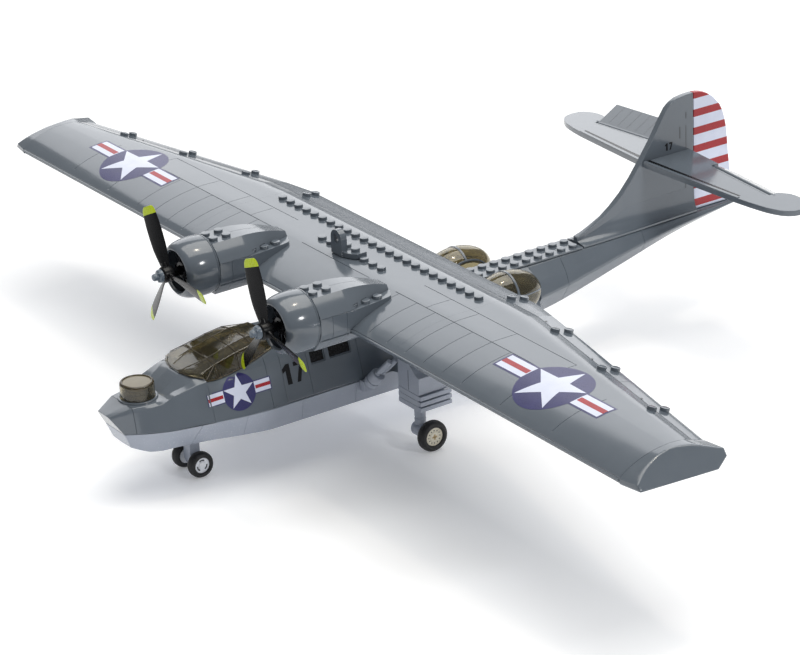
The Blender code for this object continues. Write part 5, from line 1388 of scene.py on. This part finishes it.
settle(lug, "airframe", "upper_grey_plastic", "mast_bracket", smooth=32)

# prints on the hull sides: star roundel with bars, and plain generic figures in place of the lettering
hullPrint = {"y": -103.0, "z": -47.6, "radius": 9.7, "reach": 19.0, "barHalf": 3.5}


def sideSection(y):
    if y < -120.0:
        return straightAt(bowDeck["stations"], y)
    if y < cockpitTub["high"]:
        sill, shoulder, chine = ringAt(cockpitTub["stations"], y)
        return [(0, sill[1]), sill, shoulder, chine, (0, chine[1])]
    return cabinRing(y)


for side, hand in ((1, "left"), (-1, "right")):
    bm = bmesh.new()

    def onSide(a, b, lift):
        # a runs aft and b runs up the sloping side
        y, z = hullPrint["y"] + a, hullPrint["z"] + b * 0.953
        return (side * (sideX(sideSection(y), z) + lift + 0.03), y, z)

    def onNumber(a, b, lift):
        y, z = -77.3 + a, -52.0 + b
        return (side * (sideX(sideSection(y), z) + lift + 0.03), y, z)
    roundel(bm, onSide, hullPrint["radius"], hullPrint["reach"], hullPrint["barHalf"])
    digits(bm, "17", (lambda a, b, lift: onNumber(a, b, lift)) if side > 0 else (lambda a, b, lift: onNumber(15.4 - a, b, lift)), (0.6, 0.3), 10.4, 8.6)
    settle(loose("hullPrint." + hand, bm, inkBlue, inkWhite, inkRed, inkBlack), "airframe", "white_plastic")
    bm = bmesh.new()

    def onFin(a, b, lift):
        return (side * (finShape["half"] + 0.02 + lift), 193.0 + a, 5.4 + b)
    digits(bm, "17", onFin if side > 0 else (lambda a, b, lift: onFin(6.4 - a, b, lift)), (0.2, 0.0), 4.4, 3.6, finish=0)
    settle(loose("finPrint." + hand, bm, inkBlack), "airframe", "black_plastic")
print("prints ready")

# looks of the CAD nodes that carry over
carried = {"upper_grey_plastic": upperGrey, "lower_grey_plastic": lowerGrey, "white_plastic": whiteAbs, "black_plastic": blackAbs,
           "hub_grey_plastic": steelGrey, "cream_plastic": creamAbs, "tyre_rubber": tyreRubber, "smoked_glass": smokeClear, "tan_plastic": tanAbs}
slots = {s["node"]: s["material_slot"] for s in frame["record"]["subparts"]}
for node, item in frame["nodes"].items():
    if not item.hide_render:
        item.data.materials.clear()
        item.data.materials.append(carried[slots[node]])
        print("carried", node)

# camera at the photo's angle
lens = bpy.data.cameras.new("camera")
camera = bpy.data.objects.new("camera", lens)
bpy.context.scene.collection.objects.link(camera)
camera.matrix_world = Matrix(((0.566499, -0.306205, 0.765060, 1.303502), (0.823020, 0.256918, -0.506588, -0.887454),
                              (-0.041438, 0.916641, 0.397557, 0.721665), (0, 0, 0, 1)))
lens.lens = 143.016
lens.sensor_width = 36.0
lens.clip_end = 30.0
bpy.context.scene.camera = camera

# pale floor and soft studio light
ground = bpy.data.meshes.new("paperFloor")
ground.from_pydata([(-9, -9, 0), (9, -9, 0), (9, 9, 0), (-9, 9, 0)], [], [(0, 1, 2, 3)])
floor = bpy.data.objects.new("paperFloor", ground)
bpy.context.scene.collection.objects.link(floor)
ground.materials.append(paperSweep("whitePaper"))
sky = bpy.data.worlds.new("softRoom")
bpy.context.scene.world = sky
sky.use_nodes = True
sky.node_tree.nodes["Background"].inputs["Color"].default_value = linear("#f3f5f8")
sky.node_tree.nodes["Background"].inputs["Strength"].default_value = 0.28


def softLight(name, place, target, size, power, colour="#ffffff"):
    light = bpy.data.lights.new(name, "AREA")
    light.shape = "RECTANGLE"
    light.size, light.size_y = size
    light.energy = power
    light.color = linear(colour)[:3]
    item = bpy.data.objects.new(name, light)
    bpy.context.scene.collection.objects.link(item)
    item.location = place
    item.rotation_euler = (Vector(target) - Vector(place)).to_track_quat("-Z", "Y").to_euler()


softLight("topBox", (0.0, 0.35, 2.4), (0, 0.05, 0), (2.4, 2.4), 52.0, "#fffdf8")
softLight("backWall", (-2.6, 1.6, 1.5), (0, 0, 0.1), (3.4, 2.2), 40.0, "#fbfcff")
softLight("sideWindow", (1.7, 0.44, 1.03), (0.05, -0.1, 0.08), (0.24, 0.24), 6.5)
softLight("ceilingLamp", (0.22, 0.40, 1.72), (0.0, -0.1, 0.08), (0.16, 0.16), 2.2, "#fff1dc")
bpy.context.scene.view_settings.view_transform = "Standard"
print("stage ready")
